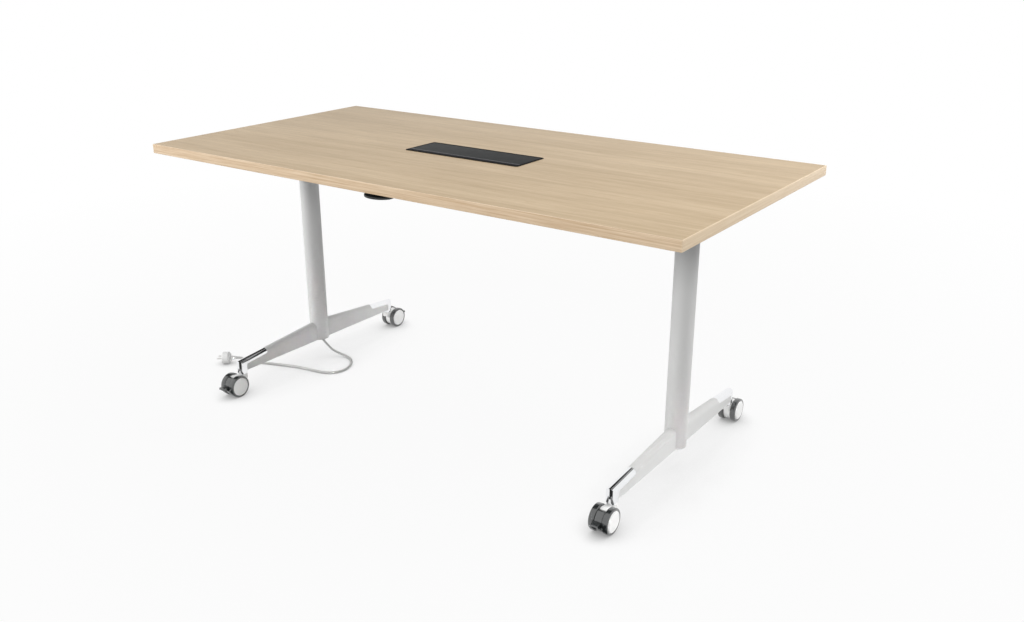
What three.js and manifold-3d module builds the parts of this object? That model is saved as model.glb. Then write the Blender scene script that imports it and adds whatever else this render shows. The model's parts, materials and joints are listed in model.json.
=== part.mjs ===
// A flip top training table on two round columns with castered T feet and a power tray in its top.
// Sizes are in millimetres. +Z is up, the user's edge faces -Y, and the origin lies on the floor
// under the middle of the top.
import * as THREE from 'three';
import { mergeVertices } from 'three/addons/utils/BufferGeometryUtils.js';
import Module from 'manifold-3d';

// Clearances
const SEAT_GAP = 0.3; // between fixed pieces that seat on or in each other
const RUN_GAP = 0.4; // round a pin, a lid or a pedal that moves
const GLUE_LINE = 0.1; // between the board and its edge band
const CLIP_GAP = 1.2; // between the underside and a cable clipped to it
const OVERRUN = 1; // of a cut past the face it opens, or of a piece into the one it is joined to

// Table top
const TABLE_HEIGHT = 730;
const TOP_LENGTH = 1600;
const TOP_DEPTH = 800;
const TOP_THICKNESS = 25;
const EDGE_BAND_THICKNESS = 2;

// Columns and the beam between them
const COLUMN_INSET = 176; // from the end of the top to the column's axis
const COLUMN_DIAMETER = 57;
const COLUMN_WALL = 3;
const BEAM_WIDTH = 40;
const BEAM_HEIGHT = 24;
const BEAM_WALL = 2.5;
const BEAM_CLEARANCE = 4.5; // below the swing of the power tray
const COLUMN_PLUG_THICKNESS = 6;

// Flip hinge
const PIVOT_DROP = 37; // from the underside of the top to the hinge axis
const HINGE_PIN_DIAMETER = 10;
const PIN_HEAD_DIAMETER = 16;
const PIN_HEAD_THICKNESS = 3;
const LUG_THICKNESS = 20;
const LUG_RADIUS = 22;
const LUG_FOOT_WIDTH = 48;
const HEAD_FLANGE = 5;
const HEAD_SPIGOT = 26;
const HEAD_CLEARANCE = 3; // between the turning ears and the head's flange
const STOP_WIDTH = 13; // shoulder on the lug that carries the front half of the top
const EAR_THICKNESS = 6;
const EAR_RADIUS = 16;
const PLATE_THICKNESS = 5;
const PLATE_DEPTH = 120;
const PLATE_OUTBOARD = 55; // from the column's axis to the plate's outer end

// Lock and release
const BOLT_DIAMETER = 8;
const BOLT_LENGTH = 28;
const BOLT_RISE = 14; // of the bolt's axis above the hinge axis
const BOLT_TRAVEL = 4.4;
const BOLT_END_ROOM = 3;
const KEEPER_DEPTH = 9;
const LOCK_WALL = 4.6;
const CABLE_DIAMETER = 4.8;
const CABLE_SPREAD = 36; // between the two cables at the paddle
// Bends of a cable, as shares of its way outwards and backwards to the lock and of its rise to the board
const CABLE_START = [[0, 0.045, 0.12], [0.025, 0.165, 1], [0.11, 0.325, 1], [0.26, 0.495, 1], [0.51, 0.68, 1]];
const CABLE_END = [[0.765, 0.86, 1], [0.89, 0.96, 0.8], [0.955, 0.993, 0.26], [0.982, 1, 0.015]];
const HANDLE_WIDTH = 80;
const HANDLE_SETBACK = 5; // from the front edge of the top
const HANDLE_REACH = 45; // from its hinge to its front
const HANDLE_THICKNESS = 6;
const HANDLE_DROP = 11; // from the underside of the top to the paddle's hinge
const HANDLE_NECK = 52;
const HANDLE_TAIL = 24;
const HANDLE_TAIL_WIDTH = 16;
const HANDLE_NOSE = 0.7; // fullness of its rounded front
const HANDLE_SHOULDER_GAP = 1.2; // in front of the bracket's cheeks
const HANDLE_BARREL = 10;
const HANDLE_PIN_DIAMETER = 4;
const BRACKET_WALL = 4;
const BRACKET_PLATE = 2.5;
const BRACKET_DEPTH = 34; // behind the paddle's hinge
const BRACKET_NOSE = 6; // in front of the paddle's hinge

// Power tray, lid and sockets
const LID_LENGTH = 352;
const LID_WIDTH = 101;
const LID_THICKNESS = 4;
const LID_BEVEL = 2;
const LID_PIN_DIAMETER = 1.8;
const RIM_FRONT = 16;
const RIM_SIDE = 6;
const RIM_THICKNESS = 1.5;
const RIM_CORNER = 7;
const TRAY_DEPTH = 80; // from the table's surface to the tray's underside
const TRAY_WALL = 2.5;
const LEDGE = 4; // that the lid lies on
const CUTOUT_MARGIN = 1;
const SOCKET_DIAMETER = 39;
const SOCKET_DEPTH = 12;
const SOCKET_PITCH = 50;
const SOCKET_COUNT = 3;
const STRIP_LENGTH = 224;
const STRIP_WIDTH = 46;
const STRIP_HEIGHT = 23;
const LEAD_DIAMETER = 7.2;
const LEAD_DROP = 13; // from its run along the board to its outlet in the tray
// Bends of the lead, as shares of its way to the hinge and of its rise
const LEAD_BENDS = [[0.035, 0], [0.115, 0.5], [0.205, 0.97], [0.33, 1], [0.85, 1], [0.95, 1]];

// Feet
const STEM_REACH = 316; // from the column's axis to a caster's stem
const FOOT_CLEARANCE = 5; // from the top of the wheels to the underside of the arms
const ARM_WIDTH = 28;
const ARM_ROOT_HEIGHT = 57;
const ARM_TOE_HEIGHT = 32;
const CAP_LENGTH = 88; // of chrome behind the stem
const CAP_BAND = 13; // chrome below the arm's top edge
const CAP_POST_BACK = 14; // chrome post behind the stem
const CAP_CORNER = 5;
const CAP_POST_DROP = 6; // of the post below the arm
const CAP_BOSS_DROP = 6; // of the round boss below the post
const CAP_BOSS_DIAMETER = 23;

// Casters
const WHEEL_DIAMETER = 65;
const WHEEL_WIDTH = 15;
const BODY_WIDTH = 19; // of the caster's body, between the wheels
const WHEEL_SIDE_GAP = 0.5;
const CASTER_TRAIL = 31; // from the stem to the axle
const TREAD_ROUND = 3.5;
const HUB_DIAMETER = 52;
const HUB_RECESS = 5.5;
const HUB_PROUD = 1.5;
const AXLE_DIAMETER = 8;
const STEM_DIAMETER = 10;
const STEM_LENGTH = 28;
const BODY_RIM = 4; // from the body's round edge to the tread
const BODY_NECK = 21;
const NECK_HEIGHT = 13.5;
const AXLE_BOSS_RADIUS = 12;
const HOOD_RIM = 2.5; // from the hood's round edge to the tread
const HOOD_WALL = 13;
const KNUCKLE_RADIUS = 4;
const KNUCKLE_REACH = 22; // from the axle to the pedal's pivot
const PEDAL_REACH = 51; // from the axle to the pedal's tip
const PEDAL_THICKNESS = 8;
const PEDAL_TIP_ROUND = 3;

// Angles about a caster's axle, in degrees up from the trailing side
const BODY_CROWN_ANGLE = 100;
const BODY_REAR_ANGLE = 75;
const BODY_LOW_ANGLE = -80;
const BODY_FRONT_ANGLE = -190;
const HOOD_TOP_ANGLE = 62;
const HOOD_LOW_ANGLE = -50;
const KNUCKLE_ANGLE = 68;
const PEDAL_ROOT_ANGLE = 14;
const PEDAL_TIP_ANGLE = 4;

// Mains cord and plug
const CORD_DIAMETER = 7.2;
const GLAND_LENGTH = 18;
const GLAND_DIAMETER = 15;
const GLAND_HEIGHT = 82; // of its lower end above the floor
const GLAND_NOSE_WALL = 1.2;
const PLUG_DIAMETER = 37.8;
const PLUG_BODY = 27;
const PLUG_SLEEVE = 16;
const SLEEVE_NOSE_WALL = 1;
const SLEEVE_ROOT_WALL = 3;
const PLUG_SHOULDER = 5;
const PLUG_SHOULDER_LENGTH = 6;
const PLUG_ROUND = 2;
const PLUG_PIN_DIAMETER = 4.8;
const PLUG_PIN_LENGTH = 17;
const PLUG_PIN_SPACING = 19;

// Facets
const ROUND_SIDES = 16;
const SMALL_SIDES = 12;
const COLUMN_SIDES = 36;
const WHEEL_SIDES = 24;
const CURVE_STEPS = 4;
const ARC_STEP = 16; // degrees
const CORD_SIDES = 8;
const CORD_STEPS = 72;
const CABLE_STEPS = 36;
const LEAD_STEPS = 24;

// Heights and places that follow from the sizes above
const underside = TABLE_HEIGHT - TOP_THICKNESS;
const pivotHeight = underside - PIVOT_DROP;
const headTop = pivotHeight - EAR_RADIUS - HEAD_CLEARANCE;
const columnTop = headTop - HEAD_FLANGE;
const columnRadius = COLUMN_DIAMETER / 2;
const columnBore = columnRadius - COLUMN_WALL;
const columnX = TOP_LENGTH / 2 - COLUMN_INSET;
const armBottom = WHEEL_DIAMETER + FOOT_CLEARANCE;
const plateTop = underside - SEAT_GAP;
const plateBottom = plateTop - PLATE_THICKNESS;
const earInner = LUG_THICKNESS / 2 + SEAT_GAP;
const earOuter = earInner + EAR_THICKNESS;
const boltHeight = pivotHeight + BOLT_RISE;
const boltRoom = earInner + BOLT_LENGTH + BOLT_TRAVEL + BOLT_END_ROOM;
const lockEnd = boltRoom + LOCK_WALL;
const plateInboard = lockEnd + EAR_THICKNESS;
const wireHole = CABLE_DIAMETER / 4;

const rimTop = TABLE_HEIGHT + SEAT_GAP + RIM_THICKNESS;
const ledgeTop = rimTop - LID_THICKNESS - SEAT_GAP;
const collarBottom = ledgeTop - TRAY_WALL;
const trayBottom = TABLE_HEIGHT - TRAY_DEPTH;
const mouthLength = LID_LENGTH + 2 * RUN_GAP;
const mouthWidth = LID_WIDTH + 2 * RUN_GAP;
const rimLength = mouthLength + 2 * RIM_SIDE;
const rimWidth = mouthWidth + RIM_FRONT + RIM_SIDE;
const mouthFront = -rimWidth / 2 + RIM_FRONT;
const mouthRear = mouthFront + mouthWidth;
const tubHalf = mouthLength / 2 - LEDGE + TRAY_WALL;
const tubFront = mouthFront + LEDGE - TRAY_WALL;
const tubRear = mouthRear - LEDGE + TRAY_WALL;

const traySwing = Math.hypot(tubRear, trayBottom - pivotHeight);
const beamTop = pivotHeight - traySwing - BEAM_CLEARANCE;
const beamBottom = beamTop - BEAM_HEIGHT;

const X_AXIS = new THREE.Vector3(1, 0, 0);
const Y_AXIS = new THREE.Vector3(0, 1, 0);
const Z_AXIS = new THREE.Vector3(0, 0, 1);
const SIDES = [['left', -1], ['right', 1]];
const ENDS = [['front', -1], ['rear', 1]];

const wasm = await Module();
wasm.setup();

// Solids: three.js shapes turned into bodies that can be joined and cut
function solid(geometry) {
  const bare = geometry.clone();
  for (const name of Object.keys(bare.attributes)) {
    if (name !== 'position') bare.deleteAttribute(name);
  }
  const merged = mergeVertices(bare, 1e-4);
  const corners = merged.index.array;
  const triangles = [];
  for (let i = 0; i < corners.length; i += 3) {
    const [a, b, c] = corners.slice(i, i + 3);
    if (a !== b && b !== c && c !== a) triangles.push(a, b, c);
  }
  return new wasm.Manifold(new wasm.Mesh({
    numProp: 3,
    vertProperties: new Float32Array(merged.attributes.position.array),
    triVerts: new Uint32Array(triangles),
  }));
}

function geometryOf(body) {
  const mesh = body.getMesh();
  const geometry = new THREE.BufferGeometry();
  geometry.setAttribute('position', new THREE.BufferAttribute(mesh.vertProperties, mesh.numProp));
  geometry.setIndex(new THREE.BufferAttribute(mesh.triVerts, 1));
  geometry.computeVertexNormals();
  return geometry;
}

function block([x0, x1], [y0, y1], [z0, z1]) {
  const geometry = new THREE.BoxGeometry(x1 - x0, y1 - y0, z1 - z0);
  return solid(geometry.translate((x0 + x1) / 2, (y0 + y1) / 2, (z0 + z1) / 2));
}

function rodX(radius, [x0, x1], y, z, sides = ROUND_SIDES) {
  const geometry = new THREE.CylinderGeometry(radius, radius, x1 - x0, sides);
  return solid(geometry.rotateZ(-Math.PI / 2).translate((x0 + x1) / 2, y, z));
}

function rodY(radius, [y0, y1], x, z, sides = ROUND_SIDES) {
  const geometry = new THREE.CylinderGeometry(radius, radius, y1 - y0, sides);
  return solid(geometry.translate(x, (y0 + y1) / 2, z));
}

function rodZ(radius, [z0, z1], x, y, sides = ROUND_SIDES) {
  const geometry = new THREE.CylinderGeometry(radius, radius, z1 - z0, sides);
  return solid(geometry.rotateX(Math.PI / 2).translate(x, y, (z0 + z1) / 2));
}

function outline(points) {
  return new THREE.Shape(points.map(([a, b]) => new THREE.Vector2(a, b)));
}

// A shape drawn in (y, z) and run along X, or drawn in (x, y) and run along Z
function prismX(shape, [x0, x1]) {
  const geometry = new THREE.ExtrudeGeometry(shape, {
    depth: x1 - x0, bevelEnabled: false, curveSegments: CURVE_STEPS,
  });
  const frame = new THREE.Matrix4().makeBasis(Y_AXIS, Z_AXIS, X_AXIS).setPosition(x0, 0, 0);
  return solid(geometry.applyMatrix4(frame));
}

function prismZ(shape, [z0, z1]) {
  const geometry = new THREE.ExtrudeGeometry(shape, {
    depth: z1 - z0, bevelEnabled: false, curveSegments: CURVE_STEPS,
  });
  return solid(geometry.translate(0, 0, z0));
}

function tubeAlong(points, diameter, steps) {
  const path = new THREE.CatmullRomCurve3(points.map((p) => new THREE.Vector3(...p)));
  const section = new THREE.Shape().absarc(0, 0, diameter / 2, 0, 2 * Math.PI);
  return solid(new THREE.ExtrudeGeometry(section, {
    steps, extrudePath: path, bevelEnabled: false, curveSegments: CORD_SIDES / 2,
  }));
}

// A turned piece: profile points are (radius, distance along the axis)
function turned(profile, sides = ROUND_SIDES) {
  return new THREE.LatheGeometry(profile.map(([r, a]) => new THREE.Vector2(r, a)), sides);
}

// Finishes
function finish(color, roughness, metalness = 0) {
  return () => new THREE.MeshStandardMaterial({ color, roughness, metalness });
}
const oakLaminate = finish(0xd9bf9a, 0.55);
const greyPaint = finish(0xd4d6d7, 0.45, 0.1);
const chrome = finish(0xe8e8ea, 0.08, 1);
const steel = finish(0x9a9c9f, 0.35, 1);
const darkPlastic = finish(0x36393b, 0.5);
const blackPlastic = finish(0x17181a, 0.5);
const whitePlastic = finish(0xf2f2f0, 0.4);
const tyreRubber = finish(0x2e3133, 0.75);
const paleCord = finish(0xd8d8d6, 0.6);

const table = new THREE.Group();

function add(name, body, material, parent = table) {
  const mesh = new THREE.Mesh(geometryOf(body), material());
  mesh.name = name;
  parent.add(mesh);
}

// Table top: a laminate board with a cut-out for the power tray, and the band glued round it
function rectangle(halfX, y0, y1) {
  return outline([[-halfX, y0], [halfX, y0], [halfX, y1], [-halfX, y1]]);
}

function makeTop() {
  const boardX = TOP_LENGTH / 2 - EDGE_BAND_THICKNESS;
  const boardY = TOP_DEPTH / 2 - EDGE_BAND_THICKNESS;
  const board = rectangle(boardX - GLUE_LINE, -boardY + GLUE_LINE, boardY - GLUE_LINE);
  const reach = TRAY_WALL + CUTOUT_MARGIN;
  board.holes.push(rectangle(mouthLength / 2 + reach, mouthFront - reach, mouthRear + reach));
  add('tabletop_panel', prismZ(board, [underside, TABLE_HEIGHT]), oakLaminate);

  const band = rectangle(TOP_LENGTH / 2, -TOP_DEPTH / 2, TOP_DEPTH / 2);
  band.holes.push(rectangle(boardX, -boardY, boardY));
  add('edge_band', prismZ(band, [underside, TABLE_HEIGHT]), oakLaminate);
}

// Power tray: a moulded tub with a rim on the table's surface and a ledge for the lid
function roundedRim() {
  const x = rimLength / 2;
  const y = rimWidth / 2;
  const r = RIM_CORNER;
  const shape = new THREE.Shape();
  shape.absarc(x - r, y - r, r, 0, Math.PI / 2);
  shape.absarc(-x + r, y - r, r, Math.PI / 2, Math.PI);
  shape.absarc(-x + r, -y + r, r, Math.PI, 1.5 * Math.PI);
  shape.absarc(x - r, -y + r, r, 1.5 * Math.PI, 2 * Math.PI);
  return shape;
}

const lidRadius = LID_THICKNESS / 2;
const lidAxisY = mouthRear - RUN_GAP - lidRadius;
const lidAxisZ = rimTop - lidRadius;

function makePowerTray() {
  const mouthX = mouthLength / 2;
  const collarX = mouthX + TRAY_WALL;
  const cavityX = mouthX - LEDGE;
  const rim = prismZ(roundedRim(), [TABLE_HEIGHT + SEAT_GAP, rimTop]);
  const collarY = [mouthFront - TRAY_WALL, mouthRear + TRAY_WALL];
  const collar = block([-collarX, collarX], collarY, [collarBottom, rimTop]);
  const tub = block([-tubHalf, tubHalf], [tubFront, tubRear], [trayBottom, rimTop]);
  const mouth = block([-mouthX, mouthX], [mouthFront, mouthRear], [ledgeTop, rimTop + OVERRUN]);
  const cavityY = [mouthFront + LEDGE, mouthRear - LEDGE];
  const cavity = block([-cavityX, cavityX], cavityY, [trayBottom + TRAY_WALL, rimTop + OVERRUN]);
  const pinHole = LID_PIN_DIAMETER / 2 + SEAT_GAP;
  const pivotEnd = collarX + RIM_SIDE / 2;
  const pivots = rodX(pinHole, [-pivotEnd, pivotEnd], lidAxisY, lidAxisZ, SMALL_SIDES);
  const tray = rim.add(collar).add(tub).subtract(mouth).subtract(cavity).subtract(pivots);
  add('power_tray', tray, darkPlastic);

  const stripRear = mouthRear - LEDGE - SEAT_GAP;
  const stripY = stripRear - STRIP_WIDTH / 2;
  const stripBottom = trayBottom + TRAY_WALL + SEAT_GAP;
  const stripTop = stripBottom + STRIP_HEIGHT;
  let strip = block(
    [-STRIP_LENGTH / 2, STRIP_LENGTH / 2], [stripRear - STRIP_WIDTH, stripRear], [stripBottom, stripTop],
  );
  for (let i = 0; i < SOCKET_COUNT; i += 1) {
    const x = (i - SOCKET_COUNT / 2) * SOCKET_PITCH;
    const socketZ = [stripTop - SOCKET_DEPTH, stripTop + OVERRUN];
    strip = strip.subtract(rodZ(SOCKET_DIAMETER / 2, socketZ, x, stripY));
  }
  add('socket_strip', strip, blackPlastic);
}

function makePowerLid() {
  const front = mouthFront + RUN_GAP;
  const top = rimTop;
  const bottom = rimTop - LID_THICKNESS;
  const section = new THREE.Shape();
  section.moveTo(front, bottom);
  section.lineTo(lidAxisY, bottom);
  section.absarc(lidAxisY, lidAxisZ, lidRadius, -Math.PI / 2, Math.PI / 2);
  section.lineTo(front + LID_BEVEL, top);
  section.lineTo(front, top - LID_BEVEL);
  const half = LID_LENGTH / 2;
  const pinEnd = half + RUN_GAP + TRAY_WALL;
  const pins = rodX(LID_PIN_DIAMETER / 2, [-pinEnd, pinEnd], lidAxisY, lidAxisZ, SMALL_SIDES);
  add('power_lid', prismX(section, [-half, half]).add(pins), darkPlastic);
}

// Column: a straight tube, closed at the foot by a plug and at the top by the hinge head
function makeColumn(side, sign) {
  const x = sign * columnX;
  const tube = rodZ(columnRadius, [armBottom, columnTop], x, 0, COLUMN_SIDES);
  const bore = rodZ(columnBore, [armBottom - OVERRUN, columnTop + OVERRUN], x, 0, COLUMN_SIDES);
  add(`column_${side}`, tube.subtract(bore), greyPaint);
}

// Column head: spigot and flange on the tube, and the lug that carries the hinge pin
function makeColumnHead(side, sign) {
  const x = sign * columnX;
  const spigot = rodZ(columnBore - SEAT_GAP, [columnTop - HEAD_SPIGOT, headTop], x, 0, COLUMN_SIDES);
  const flange = rodZ(columnRadius, [columnTop + SEAT_GAP, headTop], x, 0, COLUMN_SIDES);
  const across = [x - LUG_THICKNESS / 2, x + LUG_THICKNESS / 2];
  const foot = outline([
    [-LUG_FOOT_WIDTH / 2, headTop - HEAD_FLANGE / 2], [LUG_FOOT_WIDTH / 2, headTop - HEAD_FLANGE / 2],
    [LUG_RADIUS, pivotHeight], [-LUG_RADIUS, pivotHeight],
  ]);
  const stopY = [-LUG_RADIUS, -LUG_RADIUS + STOP_WIDTH];
  const stop = block(across, stopY, [pivotHeight, plateBottom - SEAT_GAP]);
  const pinEnds = [x - columnRadius, x + columnRadius];
  const pinHole = rodX(HINGE_PIN_DIAMETER / 2 + SEAT_GAP, pinEnds, 0, pivotHeight);
  const flank = x - sign * (LUG_THICKNESS / 2);
  const keeperEnds = [flank - KEEPER_DEPTH, flank + KEEPER_DEPTH];
  const keeper = rodX(BOLT_DIAMETER / 2 + RUN_GAP, keeperEnds, 0, boltHeight);
  const lug = prismX(foot, across).add(rodX(LUG_RADIUS, across, 0, pivotHeight)).add(stop);
  add(`column_head_${side}`, spigot.add(flange).add(lug).subtract(pinHole).subtract(keeper), greyPaint);
}

// Hinge pin: a headed steel pin through the ears and the lug
function makeHingePin(side, sign) {
  const x = sign * columnX;
  const headInner = earOuter + SEAT_GAP;
  const shank = rodX(HINGE_PIN_DIAMETER / 2, [x - headInner, x + headInner], 0, pivotHeight);
  const faces = [x + sign * headInner, x + sign * (headInner + PIN_HEAD_THICKNESS)];
  const head = rodX(PIN_HEAD_DIAMETER / 2, [Math.min(...faces), Math.max(...faces)], 0, pivotHeight);
  add(`hinge_pin_${side}`, shank.add(head), steel);
}

// Hinge bracket: a plate under the top with two ears round the lug and the lock bolt's housing
function span(x, sign, near, far) {
  return [x - sign * near, x - sign * far].sort((a, b) => a - b);
}

function makeHingeBracket(side, sign) {
  const x = sign * columnX;
  const plateSpan = span(x, sign, -PLATE_OUTBOARD, plateInboard);
  const plate = block(plateSpan, [-PLATE_DEPTH / 2, PLATE_DEPTH / 2], [plateBottom, plateTop]);
  const inPlate = plateBottom + PLATE_THICKNESS / 2;
  let bracket = plate;
  for (const ear of [span(x, sign, earInner, earOuter), span(x, sign, -earInner, -earOuter)]) {
    const web = block(ear, [-EAR_RADIUS, EAR_RADIUS], [pivotHeight, inPlate]);
    bracket = bracket.add(web).add(rodX(EAR_RADIUS, ear, 0, pivotHeight));
  }
  const boltBore = BOLT_DIAMETER / 2 + RUN_GAP;
  const housingY = boltBore + LOCK_WALL;
  const housingZ = [boltHeight - housingY, inPlate];
  bracket = bracket.add(block(span(x, sign, earInner, lockEnd), [-housingY, housingY], housingZ));
  const bore = rodX(boltBore, span(x, sign, earInner - OVERRUN, boltRoom), 0, boltHeight);
  const wireEnds = span(x, sign, boltRoom - OVERRUN, lockEnd + OVERRUN);
  const wire = rodX(wireHole, wireEnds, 0, boltHeight, SMALL_SIDES);
  const pinEnds = span(x, sign, -columnRadius, columnRadius);
  const pinHole = rodX(HINGE_PIN_DIAMETER / 2 + SEAT_GAP, pinEnds, 0, pivotHeight);
  add(`hinge_bracket_${side}`, bracket.subtract(bore).subtract(wire).subtract(pinHole), steel);

  const bolt = rodX(BOLT_DIAMETER / 2, span(x, sign, earInner, earInner + BOLT_LENGTH), 0, boltHeight);
  add(`lock_bolt_${side}`, bolt, steel);
}

// Cross beam: a flat tube coped to both columns
function makeCrossBeam() {
  const reach = [-columnX, columnX];
  const outer = block(reach, [-BEAM_WIDTH / 2, BEAM_WIDTH / 2], [beamBottom, beamTop]);
  const y = BEAM_WIDTH / 2 - BEAM_WALL;
  const through = [-columnX - OVERRUN, columnX + OVERRUN];
  const inner = block(through, [-y, y], [beamBottom + BEAM_WALL, beamTop - BEAM_WALL]);
  let beam = outer.subtract(inner);
  const copeZ = [beamBottom - OVERRUN, beamTop + OVERRUN];
  for (const [, sign] of SIDES) {
    beam = beam.subtract(rodZ(columnRadius + SEAT_GAP, copeZ, sign * columnX, 0, COLUMN_SIDES));
  }
  add('cross_beam', beam, greyPaint);
}

// Release paddle under the front edge, the bracket that carries it, and its pin
const handleY = -TOP_DEPTH / 2 + HANDLE_SETBACK + HANDLE_REACH;
const handleZ = underside - HANDLE_DROP;
const bracketTop = underside - SEAT_GAP;
const cheekInner = HANDLE_NECK / 2 + RUN_GAP;
const cheekOuter = cheekInner + BRACKET_WALL;
const bracketRear = handleY + BRACKET_DEPTH;
const cableZ = handleZ + HANDLE_BARREL / 2 - CABLE_DIAMETER / 2;

function makeHandle() {
  const half = HANDLE_WIDTH / 2;
  const neck = HANDLE_NECK / 2;
  const front = handleY - HANDLE_REACH;
  const shoulder = handleY - BRACKET_NOSE - HANDLE_SHOULDER_GAP;
  const cheek = front + HANDLE_REACH / 2;
  const paddle = new THREE.Shape();
  paddle.moveTo(-neck, handleY);
  paddle.lineTo(-neck, shoulder);
  paddle.lineTo(-half, shoulder);
  paddle.lineTo(-half, cheek);
  paddle.quadraticCurveTo(-half * HANDLE_NOSE, front, 0, front);
  paddle.quadraticCurveTo(half * HANDLE_NOSE, front, half, cheek);
  paddle.lineTo(half, shoulder);
  paddle.lineTo(neck, shoulder);
  paddle.lineTo(neck, handleY);
  const thickness = [handleZ - HANDLE_THICKNESS / 2, handleZ + HANDLE_THICKNESS / 2];
  const barrel = rodX(HANDLE_BARREL / 2, [-neck, neck], handleY, handleZ);
  const tailX = HANDLE_TAIL_WIDTH / 2;
  const tail = block([-tailX, tailX], [handleY, handleY + HANDLE_TAIL], thickness);
  const bore = rodX(HANDLE_PIN_DIAMETER / 2 + SEAT_GAP, [-half, half], handleY, handleZ);
  add('release_handle', prismZ(paddle, thickness).add(barrel).add(tail).subtract(bore), blackPlastic);

  const cheekY = [handleY - BRACKET_NOSE, bracketRear];
  const cheekZ = [handleZ - BRACKET_NOSE, bracketTop];
  let bracket = block([-cheekOuter, cheekOuter], cheekY, [bracketTop - BRACKET_PLATE, bracketTop]);
  bracket = bracket.add(block([-cheekOuter, cheekOuter], [bracketRear - BRACKET_WALL, bracketRear], cheekZ));
  for (const [, sign] of SIDES) {
    bracket = bracket.add(block(span(0, -sign, cheekInner, cheekOuter), cheekY, cheekZ));
    const wireEnds = [bracketRear - BRACKET_WALL - OVERRUN, bracketRear + OVERRUN];
    const wire = rodY(wireHole, wireEnds, sign * CABLE_SPREAD / 2, cableZ, SMALL_SIDES);
    bracket = bracket.subtract(wire);
  }
  const pinEnds = [-cheekOuter - OVERRUN, cheekOuter + OVERRUN];
  const pinHole = rodX(HANDLE_PIN_DIAMETER / 2 + SEAT_GAP, pinEnds, handleY, handleZ);
  add('handle_bracket', bracket.subtract(pinHole), blackPlastic);
  add('handle_pin', rodX(HANDLE_PIN_DIAMETER / 2, [-cheekOuter, cheekOuter], handleY, handleZ), steel);
}

// Release cables: sheathed wires under the top, from the paddle's bracket to the two lock housings
function makeReleaseCable(side, sign) {
  const run = underside - CLIP_GAP - CABLE_DIAMETER / 2;
  const startX = CABLE_SPREAD / 2;
  const startY = bracketRear + SEAT_GAP;
  const end = columnX - lockEnd - SEAT_GAP;
  const bend = (out, back, rise, from) => [
    startX + out * (end - startX), startY - back * startY, from + rise * (run - from),
  ];
  const route = [
    [startX, startY, cableZ],
    ...CABLE_START.map(([out, back, rise]) => bend(out, back, rise, cableZ)),
    ...CABLE_END.map(([out, back, rise]) => bend(out, back, rise, boltHeight)),
    [end, 0, boltHeight],
  ];
  const points = route.map(([x, y, z]) => [sign * x, y, z]);
  add(`release_cable_${side}`, tubeAlong(points, CABLE_DIAMETER, CABLE_STEPS), blackPlastic);
}

// Lead from the power tray along the underside to the left hinge, where it passes to the column
function makeModuleLead() {
  const run = underside - CLIP_GAP - LEAD_DIAMETER / 2;
  const start = -tubHalf - SEAT_GAP;
  const end = -columnX + plateInboard + SEAT_GAP;
  const y = STRIP_WIDTH / 2;
  const outlet = run - LEAD_DROP;
  const points = [
    [start, y, outlet],
    ...LEAD_BENDS.map(([along, rise]) => [start + along * (end - start), y, outlet + rise * LEAD_DROP]),
    [end, y, run],
  ];
  add('module_lead', tubeAlong(points, LEAD_DIAMETER, LEAD_STEPS), paleCord);
}

// Foot arm and toe cap, drawn for an arm that runs towards -Y
const armSlope = (ARM_ROOT_HEIGHT - ARM_TOE_HEIGHT) / (STEM_REACH - columnRadius);
const toeRadius = ARM_WIDTH / 2;
const capStart = STEM_REACH - CAP_LENGTH;
const postBack = STEM_REACH - CAP_POST_BACK;
const postBottom = armBottom - CAP_POST_DROP;
const bossBottom = postBottom - CAP_BOSS_DROP;

function armTopAt(reach) {
  return armBottom + ARM_ROOT_HEIGHT - armSlope * (reach - columnRadius);
}

// The arm's outer skin: straight sides, a half-round top that falls outwards and a half-round toe
function armEnvelope(bottom) {
  const deep = 2 * (ARM_ROOT_HEIGHT + CAP_POST_DROP + ARM_WIDTH);
  const section = new THREE.Shape();
  section.moveTo(-toeRadius, -deep);
  section.lineTo(-toeRadius, -toeRadius);
  section.absarc(0, -toeRadius, toeRadius, Math.PI, 0, true);
  section.lineTo(toeRadius, -deep);
  const along = new THREE.Vector3(0, -1, -armSlope).normalize();
  const upward = new THREE.Vector3().crossVectors(along, X_AXIS);
  const frame = new THREE.Matrix4().makeBasis(X_AXIS, upward, along).setPosition(0, 0, armTopAt(0));
  const length = STEM_REACH + 4 * toeRadius;
  const sloping = new THREE.ExtrudeGeometry(section, {
    depth: length, bevelEnabled: false, curveSegments: CURVE_STEPS,
  });
  const plan = new THREE.Shape();
  plan.moveTo(toeRadius, 0);
  plan.lineTo(-toeRadius, 0);
  plan.lineTo(-toeRadius, -STEM_REACH);
  plan.absarc(0, -STEM_REACH, toeRadius, Math.PI, 2 * Math.PI);
  const upright = prismZ(plan, [bottom, armTopAt(0) + deep]);
  return solid(sloping.applyMatrix4(frame)).intersect(upright);
}

// The chrome's share of the arm: a band under the top edge and a post at the toe
function capShare(grow) {
  const start = capStart - grow;
  const back = postBack - grow;
  const bandAt = (reach) => armTopAt(reach) - CAP_BAND - grow;
  const beyond = STEM_REACH + 2 * toeRadius;
  const high = armTopAt(0) + CAP_BAND;
  const share = new THREE.Shape();
  share.moveTo(-start, high);
  share.lineTo(-beyond, high);
  share.lineTo(-beyond, 0);
  share.lineTo(-back, 0);
  share.lineTo(-back, bandAt(back) - CAP_CORNER);
  share.quadraticCurveTo(-back, bandAt(back), -(back - CAP_CORNER), bandAt(back - CAP_CORNER));
  share.lineTo(-(start + CAP_CORNER), bandAt(start + CAP_CORNER));
  share.quadraticCurveTo(-start, bandAt(start), -start, bandAt(start) + CAP_CORNER);
  return prismX(share, [-ARM_WIDTH, ARM_WIDTH]);
}

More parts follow.
